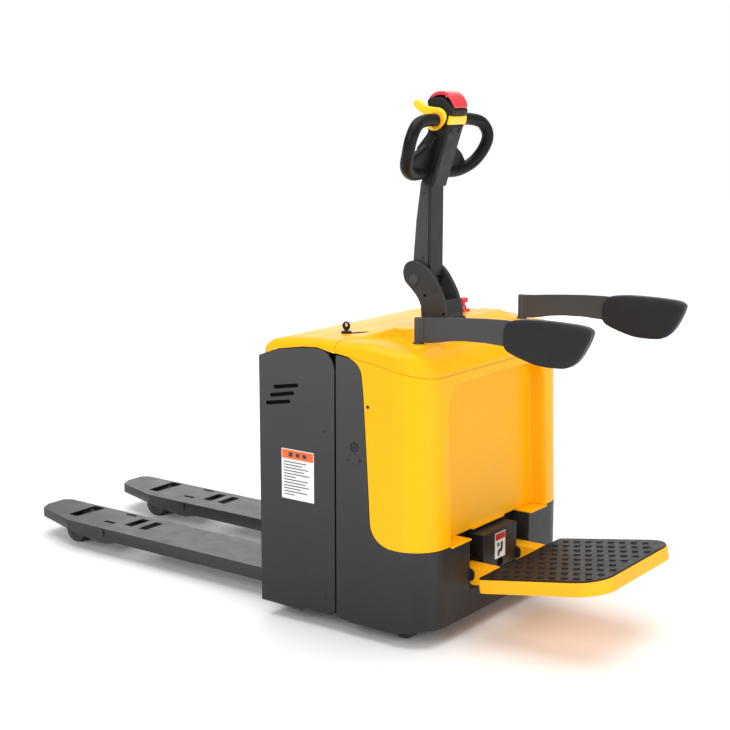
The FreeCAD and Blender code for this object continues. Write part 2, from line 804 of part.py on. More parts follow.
def guard_sockets():
    """Two upright tubes on the top plate that the guard posts turn in."""
    items = []
    for side in SIDES.values():
        tube = rod("Z", (POST_X, side * POST_Y, TOP_PLATE + 6), 792 - TOP_PLATE - 6, SOCKET_R)
        items.append(cut(tube, rod("Z", (POST_X, side * POST_Y, TOP_PLATE + 8), 100, POST_R + GAP)))
    return group(items)


def guard_bar(side):
    """Post, collar and flat bar of one guard."""
    y = side * POST_Y
    post = rod("Z", (POST_X, y, TOP_PLATE + 10), 862 - TOP_PLATE - 10, "Sizes.post_radius")
    collar = rod("Z", (POST_X, y, 793), 6, 20)
    strip = centred("XZ", BAR_OUTLINE, y, size("guard_bar"))
    return joined([post, collar, strip])


def guard_pad(side):
    """Foam pad moulded round the end of the flat bar."""
    y = side * POST_Y
    pad = centred("XZ", PAD_OUTLINE, y, size("guard_pad"))
    return cut(pad, centred("XZ", BAR_OUTLINE, y, size("guard_bar")))


# ---------------------------------------------------------------- platform

HINGE_X, HINGE_Z = size("hinge_x"), size("hinge_z")
HINGE_PIN = 6
ARM_IN, ARM_OUT = 95, 147
LUG_IN, LUG_OUT = 89, 153
TRAY_START = 65
TRAY_TOP = 6
TRAY_DEEP = 36
MAT_INSET = 4


def tilted(item):
    """Turn a piece that is drawn level about the hinge to the platform's rest angle."""
    turn = Rotation(Vector(0, 1, 0), -size("platform_tilt"))
    item.Placement = Placement(Vector(HINGE_X, 0, HINGE_Z), turn).multiply(item.Placement)
    return item


def tray_plan(inset):
    half = size("platform_half") - inset
    far = size("platform_reach") - inset
    near = TRAY_START + inset
    return [(near, -half, 14), (far, -half, 78), (far, half, 78), (near, half, 14)]


# side view of a platform arm about the hinge; its top is level while the platform is at rest
ARM_SIDE = [
    (-14, -16, 12), (20, -30, 8), (TRAY_START + 120, -26), (TRAY_START + 120, 3),
    (68, 5), (62.5, 9.6), (-31, 25.6, 3), (-31, 10, 3),
]


def platform_tray():
    """Pressed tray on two arms that turn on the hinge pins."""
    pan = slab("XY", tray_plan(0), TRAY_TOP - TRAY_DEEP, TRAY_DEEP)
    hollow = slab("XY", tray_plan(5), TRAY_TOP - TRAY_DEEP - 5, TRAY_DEEP)
    parts = [cut(pan, hollow)]
    for side in SIDES.values():
        low = min(side * ARM_IN, side * ARM_OUT)
        parts.append(slab("XZ", ARM_SIDE, low, ARM_OUT - ARM_IN))
    body = cut(joined(parts), rod("Y", (0, -200, 0), 400, HINGE_PIN + GAP))
    return tilted(body)


def platform_mat():
    """Rubber mat with rows of raised bars."""
    mat = slab("XY", tray_plan(MAT_INSET), TRAY_TOP, 2)
    bars = []
    for i in range(13):
        x = TRAY_START + 24 + 24.5 * i
        half = 200 if i < 11 else 150
        bars.append(block((x, -half, TRAY_TOP + 2), (x + 8, half, TRAY_TOP + 4.5)))
    return tilted(joined([mat] + bars))


LUG_END = HINGE_X + 12
LUG_SIDE = [
    (REAR_PLATE, HINGE_Z - 40), (LUG_END, HINGE_Z - 12, 11),
    (LUG_END, HINGE_Z + 12, 11), (REAR_PLATE, HINGE_Z + 40),
]


def hinge_lugs():
    """A pair of lugs and a pin for each platform arm, on the rear plate."""
    parts = []
    for side in SIDES.values():
        lugs = []
        for y0, y1 in ((LUG_IN, ARM_IN - 1), (ARM_OUT + 1, LUG_OUT)):
            low = min(side * y0, side * y1)
            lugs.append(slab("XZ", LUG_SIDE, low, y1 - y0))
        low = min(side * (LUG_IN - 0.5), side * (LUG_OUT + 1))
        lugs.append(rod("Y", (HINGE_X, low, HINGE_Z), LUG_OUT - LUG_IN + 1.5, HINGE_PIN))
        parts.append(joined(lugs))
    return group(parts)


BOX_LOW, BOX_HIGH = 142, 253


def switch_box():
    """Closed switch housing over the hinge, with rounded outer edges and a cable notch below."""
    half = 88
    outline = [(REAR_PLATE, -half), (REAR, -half, 4), (REAR, half, 4), (REAR_PLATE, half)]
    body = slab("XY", outline, BOX_LOW, BOX_HIGH - BOX_LOW)
    return cut(body, rod("X", (REAR - 20, 0, BOX_LOW), 30, 14))


# ---------------------------------------------------------------- tiller

TILLER_X, TILLER_Z = size("tiller_x"), size("tiller_z")
BRACKET_HALF = size("bracket_half")
BRACKET_SIDE = [
    (368, 820), (442, 820), (442, 835), (431, 883), (415, 912), (392, 945), (363, 967), (340, 975),
    (310, 973, 12), (298, 950, 18), (302, 914, 20), (342, 875), (362, 845),
]
COLUMN_SIDE = [(319, 945), (356, 900, 8), (380, 922), (382, 1181), (345, 1192), (330, 1085)]


def tiller_bracket():
    """Swan-neck casting with two cheeks and a post down to the drive."""
    neck = centred("XZ", BRACKET_SIDE, 0, 2 * BRACKET_HALF)
    gap = size("column_half") + 1
    slot = [(280, 870), (450, 870), (450, 1000), (280, 1000)]
    post = rod("Z", (STEER_X, 0, DECK + 232), 820 - DECK - 232, 30)
    bolt = rod("Y", (TILLER_X, -100, TILLER_Z), 200, 10)
    return cut(joined([neck, post]), centred("XZ", slot, 0, 2 * gap), bolt)


def tiller_pin():
    """Pivot bolt of the tiller with a head on both sides."""
    width = 2 * BRACKET_HALF
    pin = rod("Y", (TILLER_X, -width / 2, TILLER_Z), width, 10)
    heads = [rod("Y", (TILLER_X, y, TILLER_Z), 3, 15) for y in (-BRACKET_HALF - 3, BRACKET_HALF)]
    return joined([pin] + heads)


def tiller_column():
    """Hollow folded column with an eye for the pivot bolt."""
    width = 2 * size("column_half")
    column = centred("XZ", COLUMN_SIDE, 0, width)
    eye = rod("Y", (TILLER_X, -width / 2, TILLER_Z), width, 26)
    hollow = block((340, -width / 2 + 4, 960), (376, width / 2 - 4, 1175))
    bore = rod("Y", (TILLER_X, -100, TILLER_Z), 200, 10 + GAP)
    return cut(joined([column, eye]), hollow, bore)


HEAD = Placement(Vector(size("head_x"), 0, size("head_z")), Rotation(Vector(0, 1, 0), HEAD_LEAN))


def in_head(item):
    """Move a piece from the head's own frame to the leaning head."""
    item.Placement = HEAD.multiply(item.Placement)
    return item


SPINE_SIDE = [
    (0, -6), (0, 166), (-6, 170), (-6, 190), (0, 196), (0, 208, 6), (-45, 236, 30), (-84, 216, 8),
    (-88, 205, 8), (-79, 188, 10), (-59, 125, 20), (-80, 76, 12), (-78, 42), (-36, 30), (-36, -6),
]
LEVER_Z = 168
LEVER_X = -42
LEVER_R = 9
STEM_X = -24
STEM_R = 6
HORN_Z = 196
HORN_R = 7


def head_spine():
    half = size("spine_half")
    body = centred("XZ", SPINE_SIDE, 0, 2 * half)
    lever_bore = rod("Y", (LEVER_X, -80, LEVER_Z), 160, LEVER_R + GAP)
    cap_seat = centred("XZ", [(-90, 205), (-80, 205), (-45, 222), (3, 197), (3, 260), (-90, 260)], 0, 60)
    wells = [rod("X", (-14, y, 150), 20, 7 + GAP) for y in (-18, 18)]
    horn = rod("X", (-95, 0, HORN_Z), 40, HORN_R + GAP)
    stem_well = rod("Z", (STEM_X, 0, 192), 60, STEM_R + GAP)
    return in_head(cut(body, lever_bore, cap_seat, horn, stem_well, *wells))


def reverse_button():
    """Arched cap in the top of the head."""
    outline = [(-82, 210), (-80, 223, 6), (-45, 252, 30), (2, 220, 8), (0, 203), (-45, 227)]
    return in_head(joined([centred("XZ", outline, 0, 58), rod("Z", (STEM_X, 0, 198), 24, STEM_R)]))


def grip(side):
    """Closed hand loop: a bent tube with a web to the spine."""
    half = size("spine_half")
    path = [
        (-31, side * (half + 12), 169), (-30, side * 112, 170), (-19, side * 165, 161), (-7, side * 190, 129),
        (-7, side * 186, 88), (-14, side * 162, 48), (-24, side * 114, 24), (-33, side * half, 19),
    ]
    web = [(side * half, 6), (side * 116, 18), (side * 100, 40), (side * half, 74)]
    plate = slab("YZ", web, -52, 30)
    loop = joined([pipe(path, size("grip_tube") / 2), plate])
    return in_head(cut(loop, block((-150, -half, -60), (60, half, 300))))


WING_SIDE = [
    (-62, 150, 10), (-30, 148, 10), (-16, 184, 8), (-60, 196), (-112, 214, 7), (-128, 200, 6), (-86, 184),
]


def throttle_lever():
    """One shaft through the head with a thumb lever on each end."""
    half = size("spine_half")
    parts = [rod("Y", (LEVER_X, -half - 10, LEVER_Z), 2 * half + 20, LEVER_R)]
    for side in SIDES.values():
        low = min(side * (half + 1), side * (half + 11))
        parts.append(slab("XZ", WING_SIDE, low, 10))
    return in_head(joined(parts))


def rocker_button(y):
    """Round push button in the head's rear face."""
    return in_head(rod("X", (-10, y, 150), 14, 7))


def horn_button():
    """Round push button at the front of the head's crown."""
    return in_head(rod("X", (-98, 0, HORN_Z), 20, HORN_R))


# ---------------------------------------------------------------- assembly

for name, side in SIDES.items():
    node(f"fork_{name}", fork(side))
    node(f"roller_arm_{name}", roller_arm(side))
    node(f"roller_axle_{name}", roller_axle(side))
    node(f"load_roller_{name}", load_roller(side))
    node(f"pull_rod_{name}", pull_rod(side))
    node(f"side_panel_{name}", side_panel(side))
    node(f"castor_fork_{name}", castor_fork(side))
    node(f"castor_wheel_{name}", castor_wheel(side))
    node(f"guard_bar_{name}", guard_bar(side))
    node(f"guard_pad_{name}", guard_pad(side))
    node(f"hand_grip_{name}", grip(side))

node("arm_pivot_pins", group([pivot_pin(side) for side in SIDES.values()]))
node("battery_box", battery_box())
node("battery_pack", battery_pack())
node("battery_cover", top_cover(54, COVER_SPLIT - 0.5, []))
KEY_HOLE = rod("Z", (KEY_X, KEY_Y, 700), 200, KEY_NECK)
node("key_panel", top_cover(COVER_SPLIT + 0.5, CARRIAGE_END, [KEY_HOLE]))
node("panel_screws", panel_screws())
node("key_switch", key_switch())
node("ignition_key", ignition_key())
node("ram_rods", ram_rods())

node("chassis_frame", chassis_frame())
node("lower_skirt", lower_skirt())
node("rear_shell", rear_shell())
node("hood", hood())
node("estop_base", estop_base())
node("estop_knob", estop_knob())
node("switch_box", switch_box())
node("platform_lugs", hinge_lugs())
node("guard_sockets", guard_sockets())
node("slewing_ring", slewing_ring())
node("lift_rams", lift_rams())
node("hydraulic_unit", hydraulic_unit())
node("motor_controller", motor_controller())
node("shell_screws", shell_screws())

node("gearbox", gearbox())
node("traction_motor", traction_motor())
node("drive_hub", drive_hub())
node("drive_tyre", drive_tyre())
node("tiller_bracket", tiller_bracket())
node("tiller_pin", tiller_pin())
node("tiller_column", tiller_column())
node("head_spine", head_spine())
node("throttle_lever", throttle_lever())
node("reverse_button", reverse_button())
node("lift_button", rocker_button(-18))
node("lower_button", rocker_button(18))
node("horn_button", horn_button())
node("platform_tray", platform_tray())
node("platform_mat", platform_mat())

doc.recompute()

problems = [item.Label for item in doc.Objects if {"Invalid", "Error"} & set(item.State)]
for name, item in nodes.items():
    shape = item.Shape
    if shape.isNull() or not shape.isValid() or not shape.Solids:
        problems.append(name)
if problems:
    raise RuntimeError("bad shapes: " + ", ".join(problems))

os.makedirs("parts", exist_ok=True)
for name, item in nodes.items():
    item.Shape.exportStep(os.path.join("parts", name + ".step"))
print(len(nodes), "nodes written")
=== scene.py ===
import math

import bmesh
import bpy
from mathutils import Matrix, Vector


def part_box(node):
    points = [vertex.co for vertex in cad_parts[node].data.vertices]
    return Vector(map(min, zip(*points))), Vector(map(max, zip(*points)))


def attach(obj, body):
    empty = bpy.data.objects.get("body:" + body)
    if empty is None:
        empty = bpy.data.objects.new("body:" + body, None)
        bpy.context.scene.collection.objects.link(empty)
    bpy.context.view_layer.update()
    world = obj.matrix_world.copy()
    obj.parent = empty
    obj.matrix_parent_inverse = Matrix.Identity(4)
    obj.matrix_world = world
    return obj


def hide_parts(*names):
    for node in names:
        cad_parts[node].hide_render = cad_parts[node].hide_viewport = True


# Looks of an electric pallet truck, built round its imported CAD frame.
# Row frame: +X from the fork tips to the platform, +Z up. Shape sizes are in millimetres
# and turned into metres by MM as each mesh is made.

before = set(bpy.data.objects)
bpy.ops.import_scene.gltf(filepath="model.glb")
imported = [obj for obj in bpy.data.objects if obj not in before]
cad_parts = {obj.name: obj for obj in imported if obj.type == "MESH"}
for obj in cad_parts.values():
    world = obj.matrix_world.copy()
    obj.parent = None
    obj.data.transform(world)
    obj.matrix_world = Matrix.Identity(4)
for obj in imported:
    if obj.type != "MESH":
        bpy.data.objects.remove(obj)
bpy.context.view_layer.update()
MM = 0.001
SIDES = {"left": -1, "right": 1}
SMOOTH_ANGLE = 34
SHEET = 3


# ---- materials

WEAR_SHARE = 0.55


def set_inputs(tree, sockets, values):
    """Links the values that are sockets and sets the others."""
    for key, value in values.items():
        if isinstance(value, bpy.types.NodeSocket):
            tree.links.new(value, sockets[key])
        else:
            sockets[key].default_value = value


def add_node(tree, kind, values, output):
    """One output socket of a new shader node."""
    node = tree.nodes.new("ShaderNode" + kind)
    set_inputs(tree, node.inputs, values)
    return node.outputs[output]


def noise(tree, scale, detail, stretch):
    """Cloudy grey values in the object's own space."""
    place = add_node(tree, "TexCoord", {}, "Object")
    place = add_node(tree, "Mapping", {"Vector": place, "Scale": stretch}, "Vector")
    return add_node(tree, "TexNoise", {"Vector": place, "Scale": scale, "Detail": detail}, "Fac")


def ramp(tree, factor, low, high, start=0.3, end=0.7):
    """Colour or grey ramp between two values."""
    node = tree.nodes.new("ShaderNodeValToRGB")
    for stop, place, color in zip(node.color_ramp.elements, (start, end), (low, high)):
        stop.position = place
        stop.color = (*color, 1)
    tree.links.new(factor, node.inputs["Fac"])
    return node.outputs["Color"]


def scaled(color, factor):
    """A colour made lighter or darker by a factor."""
    return tuple(min(1.0, channel * factor) for channel in color)


def mixed(tree, kind, factor, first, second):
    """Two colours mixed; the factor and the second may be numbers or sockets."""
    mix = tree.nodes.new("ShaderNodeMix")
    mix.data_type = "RGBA"
    mix.blend_type = kind
    set_inputs(tree, mix.inputs, {"A": first, "Factor": factor, "B": second})
    return mix.outputs["Result"]


def add_edge_wear(tree, tone, worn):
    """Lighter colour along convex edges, from the geometry's pointiness."""
    pointiness = add_node(tree, "NewGeometry", {}, "Pointiness")
    mask = ramp(tree, pointiness, (0, 0, 0), (WEAR_SHARE,) * 3, 0.52, 0.62)
    return mixed(tree, "MIX", mask, tone, (*worn, 1))


def add_painted_floor_shade(tree, tone, painted_shade_foot):
    """Painted shade: darkens a colour towards the floor, down to a share of itself."""
    place = add_node(tree, "TexCoord", {}, "Object")
    height = add_node(tree, "SeparateXYZ", {"Vector": place}, "Z")
    return mixed(tree, "MULTIPLY", 1.0, tone, ramp(tree, height, (painted_shade_foot,) * 3, (1, 1, 1), 0.06, 0.76))


def add_painted_top_light(tree, tone, painted_top_light):
    """Painted light: lighter colour on faces that look straight up, as if lit from above."""
    normal = add_node(tree, "NewGeometry", {}, "Normal")
    upward = add_node(tree, "SeparateXYZ", {"Vector": normal}, "Z")
    return mixed(tree, "MIX", ramp(tree, upward, (0, 0, 0), (1, 1, 1), 0.7, 0.98), tone, (*painted_top_light, 1))


def surface(name, color, roughness, mottling, mottle_scale, grain, rough_range, metallic=0.0,
            coat=0.0, sheen=0.0, wear=None, stretch=(1, 1, 1), gloss=0.5, painted_shade_foot=None, painted_top_light=None):
    """A material with mottled colour and roughness, and grain, edge wear, painted light on upward faces or
    painted shade towards the floor if asked.
    """
    material = bpy.data.materials.new(name)
    material.use_nodes = True
    tree = material.node_tree
    principled = tree.nodes["Principled BSDF"].inputs
    cloud = noise(tree, mottle_scale, 4.0, stretch)
    tone = ramp(tree, cloud, scaled(color, 1 - mottling), scaled(color, 1 + mottling))
    if wear:
        tone = add_edge_wear(tree, tone, wear)
    if painted_top_light:
        tone = add_painted_top_light(tree, tone, painted_top_light)
    if painted_shade_foot:
        tone = add_painted_floor_shade(tree, tone, painted_shade_foot)
    low, high = roughness - rough_range, roughness + rough_range
    patches = noise(tree, mottle_scale * 4, 5.0, stretch)
    set_inputs(tree, principled, {
        "Base Color": tone, "Roughness": ramp(tree, patches, (low,) * 3, (high,) * 3),
        "Metallic": metallic, "Coat Weight": coat, "Coat Roughness": 0.12, "Sheen Weight": sheen,
        "Specular IOR Level": gloss})
    if grain:
        scale, depth = grain
        bump = {"Height": noise(tree, scale, 2.0, stretch), "Distance": depth}
        tree.links.new(add_node(tree, "Bump", bump, "Normal"), principled["Normal"])
    return material


# Each look: colour, roughness, mottling and its scale, grain as (scale, depth in metres), spread of the
# roughness, and the other values of surface() by name.
LOOKS = {
    "yellow_shell": ((0.97, 0.45, 0.0012), 0.34, 0.025, 3.0, (420, 0.00004), 0.04, {"gloss": 0.19}),
    "yellow_paint": ((0.97, 0.42, 0.002), 0.44, 0.03, 5.0, (700, 0.00006), 0.05,
        {"wear": (0.98, 0.55, 0.03), "gloss": 0.3}),
    # Grey paint carries painted shade: darker towards the floor.
    "grey_paint": ((0.052, 0.0525, 0.055), 0.44, 0.05, 6.0, (900, 0.00009), 0.06,
        {"wear": (0.09, 0.092, 0.098), "gloss": 0.3, "painted_shade_foot": 0.28}),
    # Fork paint carries painted light: lighter on faces that look up.
    "fork_paint": ((0.011, 0.0112, 0.0135), 0.40, 0.07, 5.0, (900, 0.00009), 0.07,
        {"wear": (0.07, 0.072, 0.08), "gloss": 0.4, "painted_top_light": (0.060, 0.062, 0.069)}),
    "dark_paint": ((0.0112, 0.0108, 0.0118), 0.45, 0.08, 8.0, (800, 0.00008), 0.06,
        {"wear": (0.04, 0.04, 0.042), "gloss": 0.3}),
    "column_paint": ((0.046, 0.048, 0.056), 0.40, 0.05, 8.0, (900, 0.00006), 0.05,
        {"wear": (0.09, 0.095, 0.105), "gloss": 0.35}),
    "black_plastic": ((0.014, 0.014, 0.0155), 0.46, 0.08, 20.0, (1500, 0.00007), 0.05, {"gloss": 0.22}),
    "grip_plastic": ((0.005, 0.005, 0.0056), 0.42, 0.08, 18.0, (1700, 0.00008), 0.05,
        {"sheen": 0.02, "gloss": 0.16}),
    "pad_foam": ((0.013, 0.0125, 0.015), 0.62, 0.10, 12.0, (1100, 0.00016), 0.06,
        {"sheen": 0.05, "gloss": 0.25}),
    # Pad rim: a real bead round the pad; its lighter grey is partly its own colour and partly a painted
    # highlight along the edge.
    "pad_rim_with_painted_highlight": ((0.045, 0.046, 0.050), 0.5, 0.06, 12.0, (1100, 0.00008), 0.05, {"gloss": 0.4}),
    "mat_rubber": ((0.009, 0.0085, 0.0085), 0.5, 0.15, 16.0, (600, 0.0001), 0.08, {"gloss": 0.2}),
    "lever_yellow": ((0.96, 0.66, 0.004), 0.30, 0.03, 15.0, (900, 0.00003), 0.04, {"coat": 0.3}),
    "lever_orange": ((0.93, 0.33, 0.003), 0.34, 0.04, 15.0, (900, 0.00003), 0.04, {"gloss": 0.35}),
    "button_red": ((0.78, 0.030, 0.045), 0.28, 0.04, 20.0, (900, 0.00003), 0.04, {"coat": 0.4}),
    "roller_pu": ((0.030, 0.028, 0.027), 0.5, 0.15, 25.0, (600, 0.0001), 0.08, {}),
    "drive_pu": ((0.17, 0.085, 0.022), 0.45, 0.12, 18.0, (500, 0.0001), 0.08, {}),
    "bright_steel": ((0.55, 0.55, 0.56), 0.3, 0.08, 30.0, (400, 0.00003), 0.08,
        {"metallic": 1.0, "stretch": (1, 1, 8)}),
    "zinc_screw": ((0.035, 0.035, 0.038), 0.36, 0.1, 60.0, (900, 0.00003), 0.06, {"metallic": 0.6}),
    "cast_housing": ((0.07, 0.07, 0.075), 0.6, 0.15, 20.0, (260, 0.0003), 0.1, {}),
    "motor_black": ((0.02, 0.02, 0.023), 0.4, 0.1, 15.0, (500, 0.0001), 0.08, {}),
    "controller_alu": ((0.42, 0.42, 0.44), 0.38, 0.06, 20.0, (700, 0.00004), 0.06, {"metallic": 1.0}),
    "battery_case": ((0.05, 0.05, 0.056), 0.5, 0.1, 12.0, (600, 0.0001), 0.08, {}),
    "hub_iron": ((0.12, 0.12, 0.125), 0.45, 0.15, 25.0, (350, 0.0002), 0.1, {"metallic": 0.7}),
    "label_white": ((0.80, 0.80, 0.79), 0.35, 0.02, 20.0, None, 0.04, {}),
    "label_orange": ((0.80, 0.13, 0.02), 0.35, 0.03, 20.0, None, 0.04, {}),
    "label_red": ((0.55, 0.02, 0.01), 0.35, 0.03, 20.0, None, 0.04, {}),
    "label_ink": ((0.03, 0.03, 0.032), 0.4, 0.05, 20.0, None, 0.04, {}),
    "bracket_paint": ((0.027, 0.028, 0.031), 0.42, 0.06, 8.0, (700, 0.0001), 0.05,
        {"wear": (0.06, 0.062, 0.068), "gloss": 0.35}),
    "axle_dark": ((0.03, 0.03, 0.032), 0.5, 0.1, 30.0, (600, 0.00005), 0.06, {"gloss": 0.3}),
    # Near black: the grommet's own colour, and painted shade where it fills the key pocket, vent slots,
    # bracket holes and the column's gap.
    "black_and_painted_shade": ((0.0028, 0.0028, 0.0032), 0.7, 0.2, 10.0, (300, 0.0001), 0.1, {"gloss": 0.05}),
}
MATERIALS = {name: surface(name, *look[:-1], **look[-1]) for name, look in LOOKS.items()}


# ---- mesh helpers

def linked(name, data):
    """A new object in the scene."""
    obj = bpy.data.objects.new(name, data)
    bpy.context.scene.collection.objects.link(obj)
    return obj


def mesh_from(name, points, faces):
    """A mesh whose points are given in millimetres."""
    mesh = bpy.data.meshes.new(name)
    mesh.from_pydata([(x * MM, y * MM, z * MM) for x, y, z in points], [], faces)
    return mesh


def piece(name, mesh, body, material, replaces=(), angle=SMOOTH_ANGLE):
    """Links a finished mesh, gives it its material and makes it ride on a CAD body.

    Edges that turn by more than the angle, in degrees, stay sharp.
    """
    obj = linked(name, mesh)
    mesh.materials.clear()
    mesh.materials.append(MATERIALS[material])
    for polygon in mesh.polygons:
        polygon.use_smooth = True
    mesh.set_sharp_from_angle(angle=math.radians(angle))
    obj.data = bake(mesh, ("WEIGHTED_NORMAL", {"keep_sharp": True}))
    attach(obj, body)
    if replaces:
        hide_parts(*replaces)
    return obj


def skin(node, mesh, body, material, angle=SMOOTH_ANGLE):
    """A piece that stands for one CAD node."""
    return piece(node + "_skin", mesh, body, material, (node,), angle)


def taken(obj):
    """The finished mesh of an object, which is then removed."""
    graph = bpy.context.evaluated_depsgraph_get()
    mesh = bpy.data.meshes.new_from_object(obj.evaluated_get(graph))
    bpy.data.objects.remove(obj)
    return mesh


def bake(mesh, *settings):
    """The mesh with modifiers applied, each given as (type, {property: value})."""
    obj = linked("bake", mesh)
    for kind, values in settings:
        modifier = obj.modifiers.new(kind, kind)
        for key, value in values.items():
            setattr(modifier, key, value)
    return taken(obj)


def bevel(width, segments=3, angle=30):
    """Modifier settings that round the edges sharper than an angle."""
    return ("BEVEL", {"width": width * MM, "segments": segments, "limit_method": "ANGLE",
                      "angle_limit": math.radians(angle)})


def cleaned(mesh, flat_angle=0):
    """Welds a mesh, joins faces that are flat to this angle and makes its normals point outwards."""
    bm = bmesh.new()
    bm.from_mesh(mesh)
    bmesh.ops.remove_doubles(bm, verts=bm.verts, dist=2e-6)
    if flat_angle:
        bmesh.ops.dissolve_limit(bm, angle_limit=math.radians(flat_angle), verts=bm.verts, edges=bm.edges)
    bmesh.ops.recalc_face_normals(bm, faces=bm.faces)
    bm.to_mesh(mesh)
    bm.free()
    return mesh


def refined(node, body, material, width):
    """A piece with a CAD node's shape and every hard edge rounded."""
    mesh = cleaned(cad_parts[node].data.copy(), 1)
    skin(node, bake(mesh, bevel(width)), body, material)


def thickened(even):
    """Modifier settings that turn a surface into sheet, grown inwards."""
    return ("SOLIDIFY", {"thickness": SHEET * MM, "offset": -1, "use_even_offset": even})


def grid_mesh(name, columns, rows, point, wrap=False):
    """Quads over a grid; point(i, j) gives millimetres."""
    points = [point(i, j) for i in range(columns) for j in range(rows)]
    faces = []
    last = columns if wrap else columns - 1
    for i in range(last):
        near, far = i * rows, (i + 1) % columns * rows
        for j in range(rows - 1):
            faces.append((near + j, far + j, far + j + 1, near + j + 1))
    return mesh_from(name, points, faces)


def ring_loft(name, rings):
    """Closed solid through rings of equal length, capped at both ends."""
    count = len(rings[0])
    faces = []
    for k in range(len(rings) - 1):
        low, high = k * count, (k + 1) * count
        for i in range(count):
            faces.append((low + i, low + (i + 1) % count, high + (i + 1) % count, high + i))
    faces.append(tuple(range(count))[::-1])
    faces.append(tuple((len(rings) - 1) * count + i for i in range(count)))
    return cleaned(mesh_from(name, [point for ring in rings for point in ring], faces))


def rounded(corners, steps=8):
    """Points of a closed outline whose corners are (u, v) or (u, v, radius)."""
    points = []
    count = len(corners)
    for i, corner in enumerate(corners):
        here = Vector(corner[:2])
        if len(corner) < 3:
            points.append(tuple(here))
            continue
        back = (Vector(corners[i - 1][:2]) - here).normalized()
        ahead = (Vector(corners[(i + 1) % count][:2]) - here).normalized()
        half = back.angle(ahead) / 2
        centre = here + (back + ahead).normalized() * (corner[2] / math.sin(half))
        enter = here + back * (corner[2] / math.tan(half)) - centre
        turn = enter.angle_signed(here + ahead * (corner[2] / math.tan(half)) - centre)
        for k in range(steps + 1):
            points.append(tuple(centre + Matrix.Rotation(-turn * k / steps, 2) @ enter))
    return points


def rectangle(u0, v0, u1, v1, *radius, steps=8):
    """Outline of an upright rectangle, with round corners if a radius is given."""
    corners = [(u, v, *radius) for u, v in ((u0, v0), (u1, v0), (u1, v1), (u0, v1))]
    return rounded(corners, steps) if radius else corners


def area(ring):
    """Signed area of a ring, positive when it runs anticlockwise."""
    return sum(x0 * y1 - x1 * y0 for (x0, y0), (x1, y1) in zip(ring, ring[1:] + ring[:1])) / 2


def inset(ring, distance):
    """A ring of points drawn in by a distance, by moving each along its mean normal."""
    sign = 1 if area(ring) > 0 else -1
    count = len(ring)
    result = []
    for i in range(count):
        here = Vector(ring[i])
        before = (here - Vector(ring[i - 1])).normalized()
        after = (Vector(ring[(i + 1) % count]) - here).normalized()
        normal = Vector((-before.y - after.y, before.x + after.x)) * sign
        normal.normalize()
        spread = max(0.5, normal.dot(Vector((-after.y, after.x)) * sign))
        result.append(tuple(here + normal * distance / spread))
    return result


def flowing(ring, rounds=3):
    """A closed outline with its corners cut again and again into a smooth curve."""
    for _ in range(rounds):
        cut = []
        for (u0, v0), (u1, v1) in zip(ring, ring[1:] + ring[:1]):
            for near, far in ((0.78, 0.22), (0.22, 0.78)):
                cut.append((near * u0 + far * u1, near * v0 + far * v1))
        ring = cut
    return ring


TO_PLANE = {
    "XY": lambda u, v, w: (u, v, w),
    "XZ": lambda u, v, w: (u, w, v),
    "YZ": lambda u, v, w: (w, u, v),
}


def plate_mesh(name, rings, plane, start, thickness, round_by):
    """Flat plate with round edges from an outline and its holes."""
    curve = bpy.data.curves.new(name, "CURVE")
    curve.dimensions = "2D"
    curve.fill_mode = "BOTH"
    for k, ring in enumerate(rings):
        if (area(ring) > 0) == (k > 0):
            ring = ring[::-1]
        spline = curve.splines.new("POLY")
        spline.points.add(len(ring) - 1)
        for point, (u, v) in zip(spline.points, ring):
            point.co = (u * MM, v * MM, 0, 1)
        spline.use_cyclic_u = True
    curve.extrude = (thickness / 2 - round_by) * MM
    curve.bevel_depth = round_by * MM
    curve.bevel_resolution = 2
    curve.offset = -round_by * MM
    mesh = taken(linked(name, curve))
    middle = (start + thickness / 2) * MM
    for vertex in mesh.vertices:
        u, v, w = vertex.co
        vertex.co = TO_PLANE[plane](u, v, w + middle)
    return cleaned(mesh)


def centred_mesh(name, outline, width, round_by):
    """Plate in the XZ plane that reaches as far on both sides of the truck's middle."""
    return plate_mesh(name, [outline], "XZ", -width / 2, width, round_by)


def plate(name, rings, plane, start, thickness, body, material, round_by):
    piece(name, plate_mesh(name, rings, plane, start, thickness, round_by), body, material)


def turned_mesh(name, axis, centre, profile, segments=48):
    """Solid of revolution; the profile is (distance along the axis, radius) from end to end."""
    def point(i, j):
        angle = 2 * math.pi * i / segments
        along, radius = profile[j]
        u, v = radius * math.cos(angle), radius * math.sin(angle)
        offset = {"X": (along, u, v), "Y": (v, along, u), "Z": (u, v, along)}[axis]
        return tuple(a + b for a, b in zip(centre, offset))
    return cleaned(grid_mesh(name, segments, len(profile), point, True))


def joined_mesh(meshes):
    """Several meshes as one."""
    bm = bmesh.new()
    for mesh in meshes:
        bm.from_mesh(mesh)
    mesh = bpy.data.meshes.new("joined")
    bm.to_mesh(mesh)
    bm.free()
    return mesh


def leant(mesh, degrees, x, z):
    """The mesh leant from +Z towards +X and then moved by x and z."""
    cos, sin = math.cos(math.radians(degrees)), math.sin(math.radians(degrees))
    matrix = Matrix(((cos, 0, sin, 0), (0, 1, 0, 0), (-sin, 0, cos, 0), (0, 0, 0, 1)))
    matrix.translation = Vector((x, 0, z)) * MM
    mesh.transform(matrix)
    return mesh


